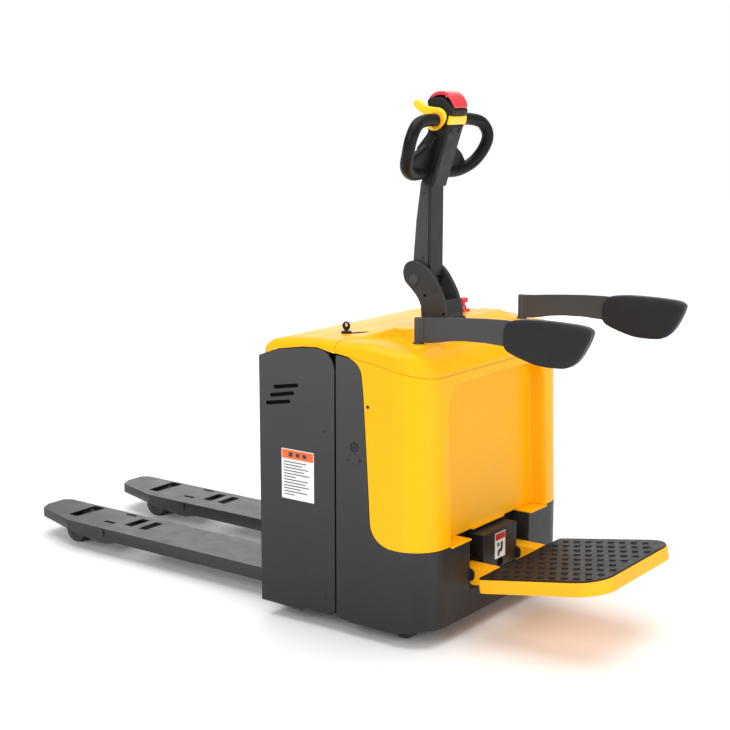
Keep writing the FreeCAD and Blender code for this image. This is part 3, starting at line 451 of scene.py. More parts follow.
def tube_mesh(name, points, radius, segments, steps):
    """Round bar along a smooth Catmull curve through its points."""
    path = []
    count = len(points)
    vectors = [Vector(p) for p in points]
    for i in range(count - 1):
        p0, p1 = vectors[max(i - 1, 0)], vectors[i]
        p2, p3 = vectors[i + 1], vectors[min(i + 2, count - 1)]
        for k in range(steps):
            t = k / steps
            path.append(0.5 * (2 * p1 + (p2 - p0) * t + (2 * p0 - 5 * p1 + 4 * p2 - p3) * t ** 2
                               + (3 * p1 - p0 - 3 * p2 + p3) * t ** 3))
    path.append(vectors[-1])
    side = Vector((1, 0, 0))
    rings = []
    for i, here in enumerate(path):
        along = (path[min(i + 1, len(path) - 1)] - path[max(i - 1, 0)]).normalized()
        side = (side - along * side.dot(along)).normalized()
        up = along.cross(side)
        rings.append([tuple(here + side * radius * math.cos(a) + up * radius * math.sin(a))
                      for a in turns(segments)])
    return ring_loft(name, rings)


def smoothstep(low, high, value):
    t = max(0.0, min(1.0, (value - low) / (high - low)))
    return t * t * (3 - 2 * t)


def turns(count):
    """Angles that share out a full turn."""
    return [2 * math.pi * k / count for k in range(count)]


def facing(side, profile):
    """A turned profile, mirrored along its axis on the -Y side."""
    return [(side * along, radius) for along, radius in profile]


def spread(low, high, step):
    """Evenly spaced values from low to high, about a step apart."""
    count = max(1, round((high - low) / step))
    return [low + (high - low) * k / count for k in range(count + 1)]


def line_at(line, x):
    """Value of a polyline at x, level beyond its ends."""
    if x <= line[0][0]:
        return line[0][1]
    for (x0, z0), (x1, z1) in zip(line, line[1:]):
        if x <= x1:
            return z0 + (z1 - z0) * (x - x0) / (x1 - x0)
    return line[-1][1]


def eased(line, x, width):
    """The same polyline with its corners softened."""
    return sum(line_at(line, x + width * k / 3) for k in range(-3, 4)) / 7


# ---- shared sizes, from the frame

def box_mm(node):
    """Low and high corner of a CAD node's box."""
    low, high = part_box(node)
    return low / MM, high / MM


HALF_WIDTH = box_mm("side_panel_right")[1].y
REAR = box_mm("lower_skirt")[1].x
KEY_LOW, KEY_HIGH = box_mm("ignition_key")
POST_X = 500
POST_Y = 261


# ---- plain frame parts

# Body, then node: (look, edge width).
REFINED = {
    "fork_carriage": {
        "fork_left": ("fork_paint", 1.6), "fork_right": ("fork_paint", 1.6),
        "battery_box": ("dark_paint", 1.2),
        "arm_pivot_pins": ("fork_paint", 0.8), "key_switch": ("black_plastic", 0.8),
        "battery_pack": ("battery_case", 3.0), "ram_rods": ("bright_steel", 0.8),
    },
    "drive_unit": {
        "chassis_frame": ("dark_paint", 1.2), "platform_lugs": ("dark_paint", 1.0),
        "guard_sockets": ("dark_paint", 0.8), "slewing_ring": ("cast_housing", 1.0),
        "lift_rams": ("dark_paint", 1.2), "hydraulic_unit": ("motor_black", 2.0),
        "motor_controller": ("controller_alu", 1.0),
    },
    "steering": {"gearbox": ("cast_housing", 2.5), "traction_motor": ("motor_black", 2.5),
                 "tiller_pin": ("column_paint", 0.8)},
    "drive_wheel": {"drive_hub": ("hub_iron", 1.2), "drive_tyre": ("drive_pu", 3.0)},
}
for node in ("lift_button", "lower_button", "horn_button"):
    REFINED[node] = {node: ("black_plastic", 0.8)}
# Body and node, both with the side to be added, look and edge width.
PAIRED = (
    ("roller_arm_", "roller_arm_", "dark_paint", 1.0), ("roller_arm_", "roller_axle_", "axle_dark", 0.8),
    ("load_roller_", "load_roller_", "roller_pu", 2.0), ("pull_rod_", "pull_rod_", "bright_steel", 0.8),
    ("castor_fork_", "castor_fork_", "dark_paint", 1.2),
    ("castor_wheel_", "castor_wheel_", "roller_pu", 2.5),
)
for body, nodes in REFINED.items():
    for node, (material, width) in nodes.items():
        refined(node, body, material, width)
for side in SIDES:
    for body, node, material, width in PAIRED:
        refined(node + side, body + side, material, width)
# A cross rib under each fork's top, ahead of its load roller.
for side in SIDES:
    low = box_mm("fork_" + side)[0].y
    rib = rectangle(-907, low + 26, -901, low + 158)
    plate("fork_tip_rib_" + side, [rib], "XY", 56, 27, "fork_carriage", "fork_paint", 1.0)


# ---- skirt and rear shell

CORNER = 95
DRAFT = 13
DRAFT_LOW, DRAFT_REACH = 262, 454
SKIRT_START = 312
BAND_TOP = 265.9
SHELL_LOW, SHELL_HIGH = 264, 716
SEAM_GAP = 0.6
SHELL_GAP = 2.6
SKIRT_EDGE = rounded([(312, 760), (390, 752, 48), (400, 660), (414, 440), (424, 268, 62), (604, 262),
                      (604, 900), (312, 900)])[:-2]
EDGE_BY_Z = sorted((z, x) for x, z in SKIRT_EDGE if 265.5 < z < 757.5)
SEAM = [(312, 764), (348, 759), (453, 745), (578, 720), (599, 716)]
SKIRT_BOTTOM = [(312, 48), (350, 37), (494, 37), (560, 48)]
NICHE = (155, 120)
RECESS = {"half": 250, "top": 690, "corner": 72, "depth": 44, "wall": 15}
CORNER_STEPS = 10


def corner_arc():
    """Points of the left rear corner in plan, each with its outward normal's X part."""
    centre = Vector((REAR - CORNER, CORNER - HALF_WIDTH))
    for k in range(CORNER_STEPS + 1):
        angle = math.pi / 2 * k / CORNER_STEPS
        yield centre.x + CORNER * math.sin(angle), centre.y - CORNER * math.cos(angle), math.sin(angle)


def draft_at(z):
    """How far the shell leans in at a height."""
    return DRAFT * max(0, z - DRAFT_LOW) / DRAFT_REACH


def u_points(side_xs, rear_ys):
    """Left half of the U-shaped plan from front to rear middle, then its mirror: (x, y, nx, ny)."""
    half = [(x, -HALF_WIDTH, 0, -1) for x in side_xs]
    half += [(x, y, nx, -math.sqrt(max(0, 1 - nx * nx))) for x, y, nx in corner_arc()][1:]
    half += [(REAR, y, 1, 0) for y in rear_ys]
    return half + [(x, -y, nx, -ny) for x, y, nx, ny in half[-2::-1]]


def edge_start(share, gap=0):
    """x on the skirt's curved edge at this share of the shell's height, plus a gap."""
    x = 400
    for _ in range(4):
        z = SHELL_LOW + (line_at(SEAM, x) - SHELL_LOW) * share
        x = line_at(EDGE_BY_Z, z)
    return x + gap


def skirt_mesh():
    """Low band round the back and a tall wing on each side, less the niche for the switch box."""
    wing = [k / 8 for k in range(9)]
    shares = [k / 14 * 0.16 for k in range(14)] + spread(0.16, 0.88, 0.12)[:-1]
    shares += [0.88 + 0.12 * k / 14 for k in range(15)]
    band_xs = [SKIRT_START + t * (edge_start(0) - SKIRT_START) for t in wing] + [498]
    outline = u_points(band_xs, [-240, -200, -NICHE[0], -100, -50, 0])
    rows = spread(0, 1, 0.25)[:-1] + spread(1, 2, 0.25)

    def band(i, j):
        x, y, nx, _ = outline[i]
        low, top = line_at(SKIRT_BOTTOM, x), min(BAND_TOP, 268 - (x - 424) / 30)
        if rows[j] < 1:
            return x, y, low + (NICHE[1] - low) * rows[j]
        return x, y, NICHE[1] + (top - NICHE[1]) * (rows[j] - 1)

    bm = bmesh.new()
    bm.from_mesh(grid_mesh("band", len(outline), len(rows), band))
    opening = []
    for face in bm.faces:
        middle = face.calc_center_median() / MM
        if middle.x > REAR - 1 and abs(middle.y) < NICHE[0] and middle.z > NICHE[1]:
            opening.append(face)
    bmesh.ops.delete(bm, geom=opening, context="FACES")
    for side in SIDES.values():
        def wing_point(i, j):
            share = wing[i if side < 0 else len(wing) - 1 - i]
            x = SKIRT_START + (edge_start(shares[j]) - SKIRT_START) * share
            top = 760 - (x - SKIRT_START) / 10
            return x, side * HALF_WIDTH, BAND_TOP + (top - BAND_TOP) * shares[j]
        bm.from_mesh(grid_mesh("wing", len(wing), len(shares), wing_point))
    mesh = bpy.data.meshes.new("lower_skirt_skin")
    bm.to_mesh(mesh)
    bm.free()
    return bake(cleaned(mesh), thickened(True), bevel(1.1, 2, 50))


def recess_depth(y, z):
    """Depth of the knee recess: its mouth has two round upper corners and sloped walls."""
    corner = RECESS["corner"]
    u, v = abs(y) - RECESS["half"] + corner, z - RECESS["top"] + corner
    inside = corner - math.hypot(max(u, 0), max(v, 0)) - min(max(u, v), 0)
    return RECESS["depth"] * smoothstep(0, RECESS["wall"], inside)


def shell_mesh():
    heights = (spread(SHELL_LOW, 330, 7)[:-1] + spread(330, 612, 28)[:-1] + spread(612, 692, 2)[:-1]
               + spread(692, SHELL_HIGH, 5))
    shares = [(z - SHELL_LOW) / (SHELL_HIGH - SHELL_LOW) for z in heights]
    rear = spread(CORNER - HALF_WIDTH, -253, 6)[:-1] + spread(-253, -232, 1.5)[:-1]
    rear += spread(-232, -176, 2.4)[:-1] + spread(-176, 0, 25)
    side_share = spread(0, 1, 0.08)[:-1]
    outline = u_points([0] * len(side_share), rear)
    half = len(outline) // 2

    def point(i, j):
        x, y, nx, ny = outline[i]
        fold = min(i, 2 * half - i)
        if fold < len(side_share):
            start = edge_start(shares[j], SHELL_GAP)
            x = start + (REAR - CORNER - start) * side_share[fold]
        z = SHELL_LOW + (line_at(SEAM, x) - SEAM_GAP - SHELL_LOW) * shares[j]
        push = draft_at(z) * nx
        if nx > 0.999:
            push += recess_depth(y, z)
        return x - nx * push, y - ny * push, z

    mesh = grid_mesh("rear_shell_skin", len(outline), len(heights), point)
    return bake(cleaned(mesh), thickened(True), bevel(0.9, 2, 55))


skin("lower_skirt", skirt_mesh(), "drive_unit", "grey_paint", 50)
skin("rear_shell", shell_mesh(), "drive_unit", "yellow_shell", 50)
for label, side in SIDES.items():
    low = min(side * NICHE[0], side * (NICHE[0] + SHEET))
    plate("niche_cheek_" + label, [rectangle(505, 112, 596.5, 258)], "XZ", low, SHEET, "drive_unit",
          "grey_paint", 0.6)
    low, high = sorted((side * NICHE[0], side * RECESS["half"]))
    ledge = rounded([(548, low), (605, low, 3), (605, high, 3), (548, high)])
    plate("shell_ledge_" + label, [ledge], "XY", 259, 4, "drive_unit", "yellow_shell", 0.8)
plate("shell_lip", [rounded([(552, -82), (562, -82, 2), (562, 82, 2), (552, 82)])], "XY", 262, 5,
      "drive_unit", "yellow_shell", 0.8)


# ---- hood

HOOD_EDGE = [(312, 795), (400, 797), (470, 790), (530, 784), (556, 768), (572, 754), (577, 741), (588, 727)]
ISLAND = [
    (312, 799), (336, 800), (396, 820), (455, 822), (538, 787), (545, 773), (559, 766), (572, 754),
    (588, 727)]
ISLAND_HALF = [(312, 302), (338, 278), (400, 224), (455, 222), (545, 200)]
HOOD_START = 309.4
HOOD_ROWS = 90
COLLAR_TOP, COLLAR_R = 794.5, 24
STEER_X, NECK_R = 405, 62
EDGE_STEPS = 6
EDGE_TURN = math.radians(62)


def edge_shares(step):
    """How far in, and how far below the top, a rounded edge is at one of its steps: two shares."""
    angle = EDGE_TURN * step / EDGE_STEPS
    return (1 - math.cos(angle)) / (1 - math.cos(EDGE_TURN)), 1 - math.sin(angle) / math.sin(EDGE_TURN)


def hood_height(x, y):
    """Top of the hood: a falling edge, the raised island and a collar round each guard post."""
    base, top = eased(HOOD_EDGE, x, 3), eased(ISLAND, x, 3)
    half = line_at(ISLAND_HALF, x)
    lift = max(0, top - base) * (1 - smoothstep(half - 1, half + 6, abs(y)))
    ring = math.hypot(x - POST_X, abs(y) - POST_Y)
    collar = max(0, COLLAR_TOP - base) * (1 - smoothstep(COLLAR_R, COLLAR_R + 4, ring))
    return base + max(lift, collar)


def hood_mesh():
    rear = spread(CORNER - HALF_WIDTH, 0, 9)
    outline = u_points(spread(HOOD_START, REAR - CORNER, 6)[:-1], rear)
    top_row = 1 + EDGE_STEPS

    def point(i, j):
        x, y, nx, ny = outline[i]
        seam = line_at(SEAM, x) + SEAM_GAP
        x, y = x - nx * nx * DRAFT, y - nx * ny * DRAFT
        reach, fall = 32 - 27 * nx, 21 - 17 * nx
        inward, drop = edge_shares(max(0, min(j, top_row) - 1))
        px, py = x - nx * reach * inward, y - ny * reach * inward
        if j > top_row:
            share = 1 - (j - top_row) / HOOD_ROWS
            px, py = HOOD_START + (px - HOOD_START) * share, py * share
        z = hood_height(px, py) - fall * drop
        return px, py, seam if j == 0 else max(z, seam + 1.5 * min(j, 2))

    mesh = grid_mesh("hood_skin", len(outline), 1 + top_row + HOOD_ROWS, point)
    return bake(cleaned(mesh), thickened(False), bevel(0.7, 2, 60))


def cut_by(mesh, cutter):
    """The mesh less another closed mesh."""
    tool = linked("tool", cutter)
    result = bake(mesh, ("BOOLEAN", {"object": tool, "operation": "DIFFERENCE", "solver": "EXACT"}))
    bpy.data.objects.remove(tool)
    return result


neck_hole = turned_mesh("hole", "Z", (STEER_X, 0, 0), [(700, 0), (700, NECK_R), (900, NECK_R), (900, 0)])
skin("hood", cut_by(hood_mesh(), neck_hole), "drive_unit", "yellow_shell", 19)


# ---- battery cover and key panel

RIM = [(50, 733), (112, 755), (203, 770), (251, 773), (306, 762)]
COVER_TOP = [
    (50, 735), (52, 748), (58, 759), (70, 770), (88, 778), (112, 784), (150, 789), (218, 794), (306, 795)]
COVER_START, PANEL_END = 50, 308.6
FRONT_CORNER = 42
EDGE_REACH, EDGE_FALL = 26, 18
SPLIT_X, SPLIT_BOW = 215, 27


def cover_half(x):
    """Half width in plan, with the two front corners rounded."""
    run = max(0, FRONT_CORNER - (x - COVER_START))
    return HALF_WIDTH - FRONT_CORNER + math.sqrt(FRONT_CORNER ** 2 - run ** 2)


def cover_height(x, y):
    crown = 4 * smoothstep(240, 312, x) * (1 - smoothstep(296, 307, abs(y)))
    return eased(COVER_TOP, x, 4) + crown


def cover_rim(x):
    """Lower edge of the cover's side, deeper round the front."""
    return line_at(RIM, x) + 0.8 - 12 * (1 - smoothstep(63, 73, x)) - 2 * (1 - smoothstep(80, 110, x))


def lid_split(y):
    """x of the bowed joint between the battery cover and the key panel."""
    return SPLIT_X + SPLIT_BOW * (y / HALF_WIDTH) ** 2


def cover_mesh(name, start, end):
    """Top skin between two cross lines, each a function of y."""
    across = spread(0, HALF_WIDTH - EDGE_REACH, 12)

    def section(x_of):
        """Points from the side's lower edge over the rounded edge to the middle."""
        half = []
        for k in range(EDGE_STEPS + 2):
            inward, drop = edge_shares(max(0, k - 1))
            half.append((HALF_WIDTH - EDGE_REACH * inward, k == 0, drop))
        half += [(y, False, 0) for y in reversed(across[:-1])]
        points = []
        for y, bottom, drop in half:
            x = x_of(y)
            rim, top = cover_rim(x), cover_height(x, y)
            radius = min(EDGE_FALL, max(1.0, top - rim - 1))
            points.append((x, y * cover_half(x) / HALF_WIDTH, rim if bottom else top - radius * drop))
        return points

    shares = [0.5 * (k / 20) ** 2 for k in range(20)] + spread(0.5, 1, 0.05)
    sections = [section(lambda y, t=t: start(y) + (end(y) - start(y)) * t) for t in shares]
    count = len(sections[0])

    def point(i, j):
        k = j if j < count else 2 * count - 2 - j
        x, y, z = sections[i][k]
        return x, -y if j < count else y, z

    mesh = grid_mesh(name, len(shares), 2 * count - 1, point)
    return bake(cleaned(mesh), thickened(False), bevel(0.9, 2, 60))


POCKET = (283, -229)
POCKET_TURN = math.radians(56)
POCKET_HALVES = (31, 17)
OVAL_POINTS = 48


def oval(grow, low, high):
    """Upright elliptical solid at the key panel's finger pocket, larger than it all round by grow."""
    long, wide = (half + grow for half in POCKET_HALVES)
    cos, sin = math.cos(POCKET_TURN), math.sin(POCKET_TURN)
    rings = []
    for z in (low, high):
        ring = [(long * math.cos(a), wide * math.sin(a)) for a in turns(OVAL_POINTS)]
        rings.append([(POCKET[0] + u * cos - v * sin, POCKET[1] + u * sin + v * cos, z) for u, v in ring])
    return ring_loft("oval", rings)


cover = cover_mesh("cover", lambda y: COVER_START, lambda y: lid_split(y) - SEAM_GAP)
panel = cover_mesh("panel", lambda y: lid_split(y) + SEAM_GAP, lambda y: PANEL_END)
skin("battery_cover", cover, "fork_carriage", "yellow_shell", 24)
skin("key_panel", cut_by(panel, oval(0, 770, 830)), "fork_carriage", "yellow_shell", 24)
piece("key_slot_floor", oval(2, 777, 783), "fork_carriage", "yellow_shell")
# Painted shade: a near-black solid inside the finger pocket, where its shade falls.
piece("key_slot_shade", oval(-1, 783.2, 796.2), "fork_carriage", "black_and_painted_shade")


# ---- small parts on the shells

def bars_mesh(boxes, plane, start, thickness, round_by=0.2):
    """Several thin rectangular plates as one mesh; boxes are (u0, v0, u1, v1)."""
    return joined_mesh([plate_mesh("bar", [rectangle(*box)], plane, start, thickness, round_by)
                        for box in boxes])


def socket_screw(centre, radius):
    """Shallow domed screw head with a socket; it faces away from the truck's middle."""
    side = 1 if centre[1] > 0 else -1
    profile = [(along, radius * share) for along, share in
               [(-1, 0), (-1, 1), (0.5, 1), (1.1, 0.88), (1.3, 0.55), (0.2, 0.5), (0.2, 0)]]
    return turned_mesh("screw", "Y", centre, facing(side, profile), 24)


PANEL = rounded([
    (50, 39), (190, 36, 8), (225, 50, 8), (300, 50, 4), (306.5, 60, 4), (306.5, 770, 56), (246, 770.3),
    (225, 769.8), (203, 768), (180, 764.8), (146, 759.3), (112, 753), (80, 743), (50, 732)])
PANEL_THICK = 5
# Node: (body, (x, z, radius) of each screw).
SCREWS = {
    "panel_screws": ("fork_carriage", ((274, 550, 4.5), (271, 85, 4.5), (167, 58, 4.5))),
    "shell_screws": ("drive_unit", ((416, 634, 5), (352, 485, 3), (390, 488, 3))),
}
VENTS = ((105, 650, 181, 663), (92, 626, 166, 640), (78, 603, 153, 616))
VENT_R, VENT_STEPS = 5.2, 7
PORT = [
    (-3, 0), (-3, 13), (1, 13), (1.6, 12), (1.6, 9.5), (-1, 9), (-1, 4.5), (1, 4), (1, 2), (-0.5, 1.6),
    (-0.5, 0)]


def slot_ring(x0, z0, x1, z1, radius):
    """Outline of a round-ended slot between two end centres."""
    tilt = math.atan2(z1 - z0, x1 - x0)
    ring = []
    for x, z, start in ((x1, z1, -math.pi / 2), (x0, z0, math.pi / 2)):
        for k in range(VENT_STEPS + 1):
            a = tilt + start + math.pi * k / VENT_STEPS
            ring.append((x + radius * math.cos(a), z + radius * math.sin(a)))
    return ring


for label, side in SIDES.items():
    face = side * HALF_WIDTH
    rings = [PANEL] + [slot_ring(*vent, VENT_R) for vent in VENTS]
    low = face if side < 0 else face - PANEL_THICK
    skin("side_panel_" + label, plate_mesh("panel", rings, "XZ", low, PANEL_THICK, 1.1), "fork_carriage",
         "grey_paint")
    # Painted shade: near-black plates behind the vent slots stand for the shade inside them.
    shade_start = face + 3.2 if side < 0 else face - 4.8
    shades = [plate_mesh("shade", [slot_ring(*vent, VENT_R - 0.1)], "XZ", shade_start, 1.6, 0.2)
              for vent in VENTS]
    piece("vent_shades_" + label, joined_mesh(shades), "fork_carriage", "black_and_painted_shade")
    for node, (body, places) in SCREWS.items():
        screws = joined_mesh([socket_screw((x, face, z), radius) for x, z, radius in places])
        piece(f"{node}_{label}", screws, body, "zinc_screw", (node,))
    plate("port_cover_" + label, [rectangle(357, 473, 386, 501, 4)], "XZ",
          face - 0.8 if side < 0 else face - 1, 1.8, "drive_unit", "grey_paint", 0.5)
    port = turned_mesh("port", "Y", (372, face, 521), facing(side, PORT), 36)
    piece("drain_port_" + label, port, "drive_unit", "black_plastic")

# The side label is plain blocks only.
LABEL_FACE = -HALF_WIDTH
LINE_START, LINE_TOP, LINE_PITCH, LINE_HIGH = 135, 448, 8.2, 2.4
LINE_LENGTHS = (78, 64, 84, 70, 88, 40, 82, 74, 86, 58, 80, 36)
plate("label_sheet", [rectangle(127, 346, 238, 485, 2)], "XZ", LABEL_FACE - 0.5, 0.9, "fork_carriage",
      "label_white", 0.2)
header = bars_mesh([(129, 458, 236, 483)], "XZ", LABEL_FACE - 0.9, 0.8)
piece("label_header", header, "fork_carriage", "label_orange")
lines = []
for k, length in enumerate(LINE_LENGTHS):
    low = LINE_TOP - LINE_PITCH * k
    lines.append((LINE_START, low, LINE_START + length, low + LINE_HIGH))
lines += [(152, 464, 166, 477), (176, 465, 190, 476), (199, 465, 213, 476)]
piece("label_lines", bars_mesh(lines, "XZ", LABEL_FACE - 1.1, 0.7, 0.15), "fork_carriage", "label_ink")


# ---- key

key_x, key_y, _ = (KEY_LOW + KEY_HIGH) / 2
bow_z = KEY_HIGH.z - 13
STEM_R = 3.5
RING_R, RING_WIRE = 9, 0.9


def circle(u, v, radius):
    return [(u + radius * math.cos(a), v + radius * math.sin(a)) for a in turns(32)]


rings = [circle(key_x, bow_z, 12.5), circle(key_x, bow_z + 3, 5)]
bow = plate_mesh("bow", rings, "XZ", key_y - 2.2, 4.4, 1.2)
stem_profile = [(KEY_LOW.z, 0), (KEY_LOW.z, STEM_R), (bow_z - 10, STEM_R), (bow_z - 10, 0)]
stem = turned_mesh("stem", "Z", (key_x, key_y, 0), stem_profile, 24)
skin("ignition_key", joined_mesh([bow, stem]), "key", "black_plastic")
path = []
for k in range(17):
    a = 2 * math.pi * k / 16
    u, v = math.cos(a), math.sin(a)
    path.append((key_x + RING_R * u, key_y + 3 * v + 2, bow_z - 4 + RING_R * v))
piece("key_ring", tube_mesh("ring", path, RING_WIRE, 8, 3), "key", "bright_steel")


# ---- emergency stop

STOP = (370, 150)
stop_base = [(815, 0), (815, 22), (822, 22), (825, 20), (825, 13), (831, 12), (834, 11), (834, 0)]
stop_knob = [
    (830, 0), (830, 8.5), (842, 8.5), (843, 15), (845, 16.5), (853, 16.5), (856, 14), (857, 8), (857, 0)]
for node, body, profile in (("estop_base", "drive_unit", stop_base),
                            ("estop_knob", "estop_knob", stop_knob)):
    skin(node, turned_mesh("stop", "Z", (*STOP, 0), profile), body, "button_red")


# ---- switch box

BOX_SIDE = rounded([(540, 142), (599, 142, 3), (599, 253, 3), (540, 253)])
skin("switch_box", centred_mesh("box", BOX_SIDE, 176, 2.5), "drive_unit", "dark_paint")
box_notch = [(0, 0), (0, 13), (2, 13), (2.6, 12), (1.2, 10), (1.2, 0)]
grommet = turned_mesh("grommet", "X", (598.4, 0, 158), box_notch, 32)
piece("box_grommet", grommet, "drive_unit", "black_and_painted_shade")
plate("box_label", [rectangle(-28, 170, 26, 243, 2)], "YZ", 598.8, 0.8, "drive_unit", "label_white", 0.2)
piece("box_label_header", bars_mesh([(-26, 222, 24, 241)], "YZ", 599.2, 0.8), "drive_unit", "label_red")
marks = [(-14, 176, -4, 192), (-8, 186, 8, 196), (2, 192, 12, 214), (-16, 204, -6, 214)]
piece("box_label_mark", bars_mesh(marks, "YZ", 599.4, 0.8, 0.15), "drive_unit", "label_ink")


# ---- guards

PAD_OUTLINE = flowing([
    (757, 826), (760, 862), (776, 882), (830, 889), (900, 890), (985, 887), (1004, 876), (1001, 858),
    (985, 824), (964, 794), (936, 777), (890, 775), (850, 777), (800, 791), (766, 804)])
BAR = [(500, 799), (529, 799), (560, 803), (595, 810), (640, 815), (700, 817), (760, 814), (800, 812),
       (800, 879), (760, 880), (700, 878), (640, 874), (580, 869), (540, 865), (500, 862)]
KNUCKLE = rounded([(500, 798.5), (519, 798.5, 2), (519, 862.5, 2), (500, 862.5)])
POST = [
    (700, 0), (700, 10.5), (792, 10.5), (792, 14.5), (793, 15.5), (796, 15.5), (797, 14.5), (797, 11.5),
    (799, 11), (860, 11), (862.5, 9), (863, 6), (863, 0)]
FOAM = [(-19.5, 60), (-19.2, 30), (-18.4, 13), (-16.6, 6), (-13.5, 2.2), (-10, 1), (-9.4, 2.6),
        (9.4, 2.6), (10, 1), (13.5, 2.2), (16.6, 6), (18.4, 13), (19.2, 30), (19.5, 60)]
PAD_RIM = [(-9.2, 3), (-9, 0.6), (-7.5, 0), (7.5, 0), (9, 0.6), (9.2, 3)]
DEEPEST_INSET = 13


def cushion(outline, middle_y, profile):
    """Rings of an outline along Y, from (y, inset); the deepest insets shrink about the middle instead."""
    middle_u = sum(u for u, _ in outline) / len(outline)
    middle_v = sum(v for _, v in outline) / len(outline)
    rings = []
    for y, inward in profile:
        share = DEEPEST_INSET / max(inward, DEEPEST_INSET)
        rings.append([(middle_u + (u - middle_u) * share, middle_y + y, middle_v + (v - middle_v) * share)
                      for u, v in inset(outline, min(inward, DEEPEST_INSET))])
    return ring_loft("cushion", rings)


for label, side in SIDES.items():
    middle = side * POST_Y
    body = "guard_" + label
    pad = skin("guard_pad_" + label, cushion(PAD_OUTLINE, middle, FOAM), body, "pad_foam")
    strip = plate_mesh("strip", [BAR], "XZ", middle - 4, 8, 1.2)
    knuckle = plate_mesh("knuckle", [KNUCKLE], "XZ", middle - 7, 14, 2)
    post = turned_mesh("post", "Z", (POST_X, middle, 0), POST)
    skin("guard_bar_" + label, joined_mesh([strip, knuckle, post]), body, "grey_paint")
    # The rim bead's lighter grey is partly its own colour and partly a painted highlight along the pad's
    # edge.
    piece("guard_rim_" + label, cushion(PAD_OUTLINE, middle, PAD_RIM), body, "pad_rim_with_painted_highlight")


# ---- platform

# How the tray lies on its hinge: lean in degrees, x and z of its origin.
LEVEL = (-9.7, 598, 160)
TRAY_NEAR, TRAY_FAR, TRAY_HALF = 65, 431.2, 222
TRAY_TURN, TRAY_TIGHT = 78, 14


def tray_plan(inward):
    """Outline of the tray with large outer corners, drawn in all round."""
    near, far, half = TRAY_NEAR + inward, TRAY_FAR - inward, TRAY_HALF - inward
    turn, tight = TRAY_TURN - inward / 2, max(2, TRAY_TIGHT - inward)
    return rounded([(near, -half, tight), (far, -half, turn), (far, half, turn), (near, half, tight)], 14)


def stacked(name, plan, profile):
    """Solid from a plan drawn in by different amounts at different heights: (z, inset)."""
    return ring_loft(name, [[(u, v, z) for u, v in plan(inward)] for z, inward in profile])


tray_profile = [(-24, 5), (-29.5, 5), (-30, 2), (-28, 0.6), (-24, 0), (0, 0), (4, 0.8), (6, 3.4), (6, 20)]
tray = stacked("tray", tray_plan, tray_profile)
skin("platform_tray", leant(tray, *LEVEL), "platform", "yellow_paint")
STUD_PITCH, STUD_ROW, STUD_SHIFT = 35.1, 46.4, -25.2
STUD_START_X, STUD_START_Y = 103, -193
STUD_NEAR, STUD_FAR = 86, 412
STUD_TURN_X, STUD_TURN_Y, STUD_TURN_R = 352, 143, 62
STUD_LONG, STUD_WIDE = 9, 5
stud_profile = [(9.5, -0.8), (11.8, 0), (13.2, 1.1), (13.6, 2.6)]
parts = [stacked("mat", tray_plan, [(5.5, 3.5), (9, 3.5), (10.2, 4.6), (10.2, 40)])]
for row in range(9):
    y = STUD_START_Y + STUD_ROW * row
    low, high = y - STUD_WIDE, y + STUD_WIDE
    for k in range(14):
        x = STUD_START_X + STUD_SHIFT * row + STUD_PITCH * k
        past_turn = math.hypot(max(0, x - STUD_TURN_X), max(0, abs(y) - STUD_TURN_Y))
        if STUD_NEAR < x < STUD_FAR and past_turn < STUD_TURN_R:
            stud = rectangle(x - STUD_LONG, low, x + STUD_LONG, high, 4, steps=3)
            parts.append(stacked("stud", lambda inward, stud=stud: inset(stud, inward), stud_profile))
skin("platform_mat", leant(joined_mesh(parts), *LEVEL), "platform", "mat_rubber")
ARM_CHEEK = rounded([
    (566, 178), (656, 178), (668, 174), (672, 148), (640, 137, 10), (602, 131, 8), (582, 144, 14),
    (566, 164, 4)])
ARM_IN, ARM_OUT, ARM_WEB = 95, 147, 6
for label, side in SIDES.items():
    low, high = sorted((side * ARM_IN, side * ARM_OUT))
    parts = [plate_mesh("flange", [rectangle(566, low, 657, high, 2)], "XY", 175, 5, 1.2)]
    for start in (low, high - ARM_WEB):
        parts.append(plate_mesh("web", [ARM_CHEEK], "XZ", start, ARM_WEB, 1.2))
    piece("platform_arm_" + label, joined_mesh(parts), "platform", "yellow_paint")


# ---- tiller bracket and column

TILLER_X, TILLER_Z = 333, 926
BRACKET = flowing([
    (364, 816), (364, 817), (400, 816), (443, 816), (444, 817), (443, 838), (438, 862), (429, 890),
    (415, 914), (397, 942), (374, 963), (348, 975), (322, 977), (303, 966), (295, 944), (301, 918),
    (322, 900), (342, 880), (356, 858), (362, 838)], 2)
CHEEK_IN, CHEEK_OUT = 30.5, 42
base = rounded([(364, 817), (443, 817), (443, 838, 30), (432, 872, 6), (340, 872, 10), (362, 846, 20)])
bolt_ring = [(0, 0), (0, 20), (1.6, 20), (2.2, 19), (2.2, 16.5), (0.6, 16), (0.6, 11), (2.8, 10), (2.8, 0)]
parts = [centred_mesh("web", base, 80, 2)]
for side in SIDES.values():
    low = min(side * CHEEK_IN, side * CHEEK_OUT)
    parts.append(plate_mesh("cheek", [BRACKET], "XZ", low, CHEEK_OUT - CHEEK_IN, 4))
    parts.append(turned_mesh("ring", "Y", (TILLER_X, side * 41.6, TILLER_Z), facing(side, bolt_ring), 40))
skin("tiller_bracket", joined_mesh(parts), "steering", "bracket_paint")
# Painted shade: near-black discs on the cheeks stand for the shade in the bracket's holes.
hole = [(-42.9, 0), (-42.9, 3.6), (-42.2, 4), (-41, 4), (-41, 0)]
for k, (x, z) in enumerate(((371, 884), (432, 838))):
    piece(f"bracket_hole_{k}", turned_mesh("hole", "Y", (x, 0, z), hole, 20), "steering", "black_and_painted_shade")

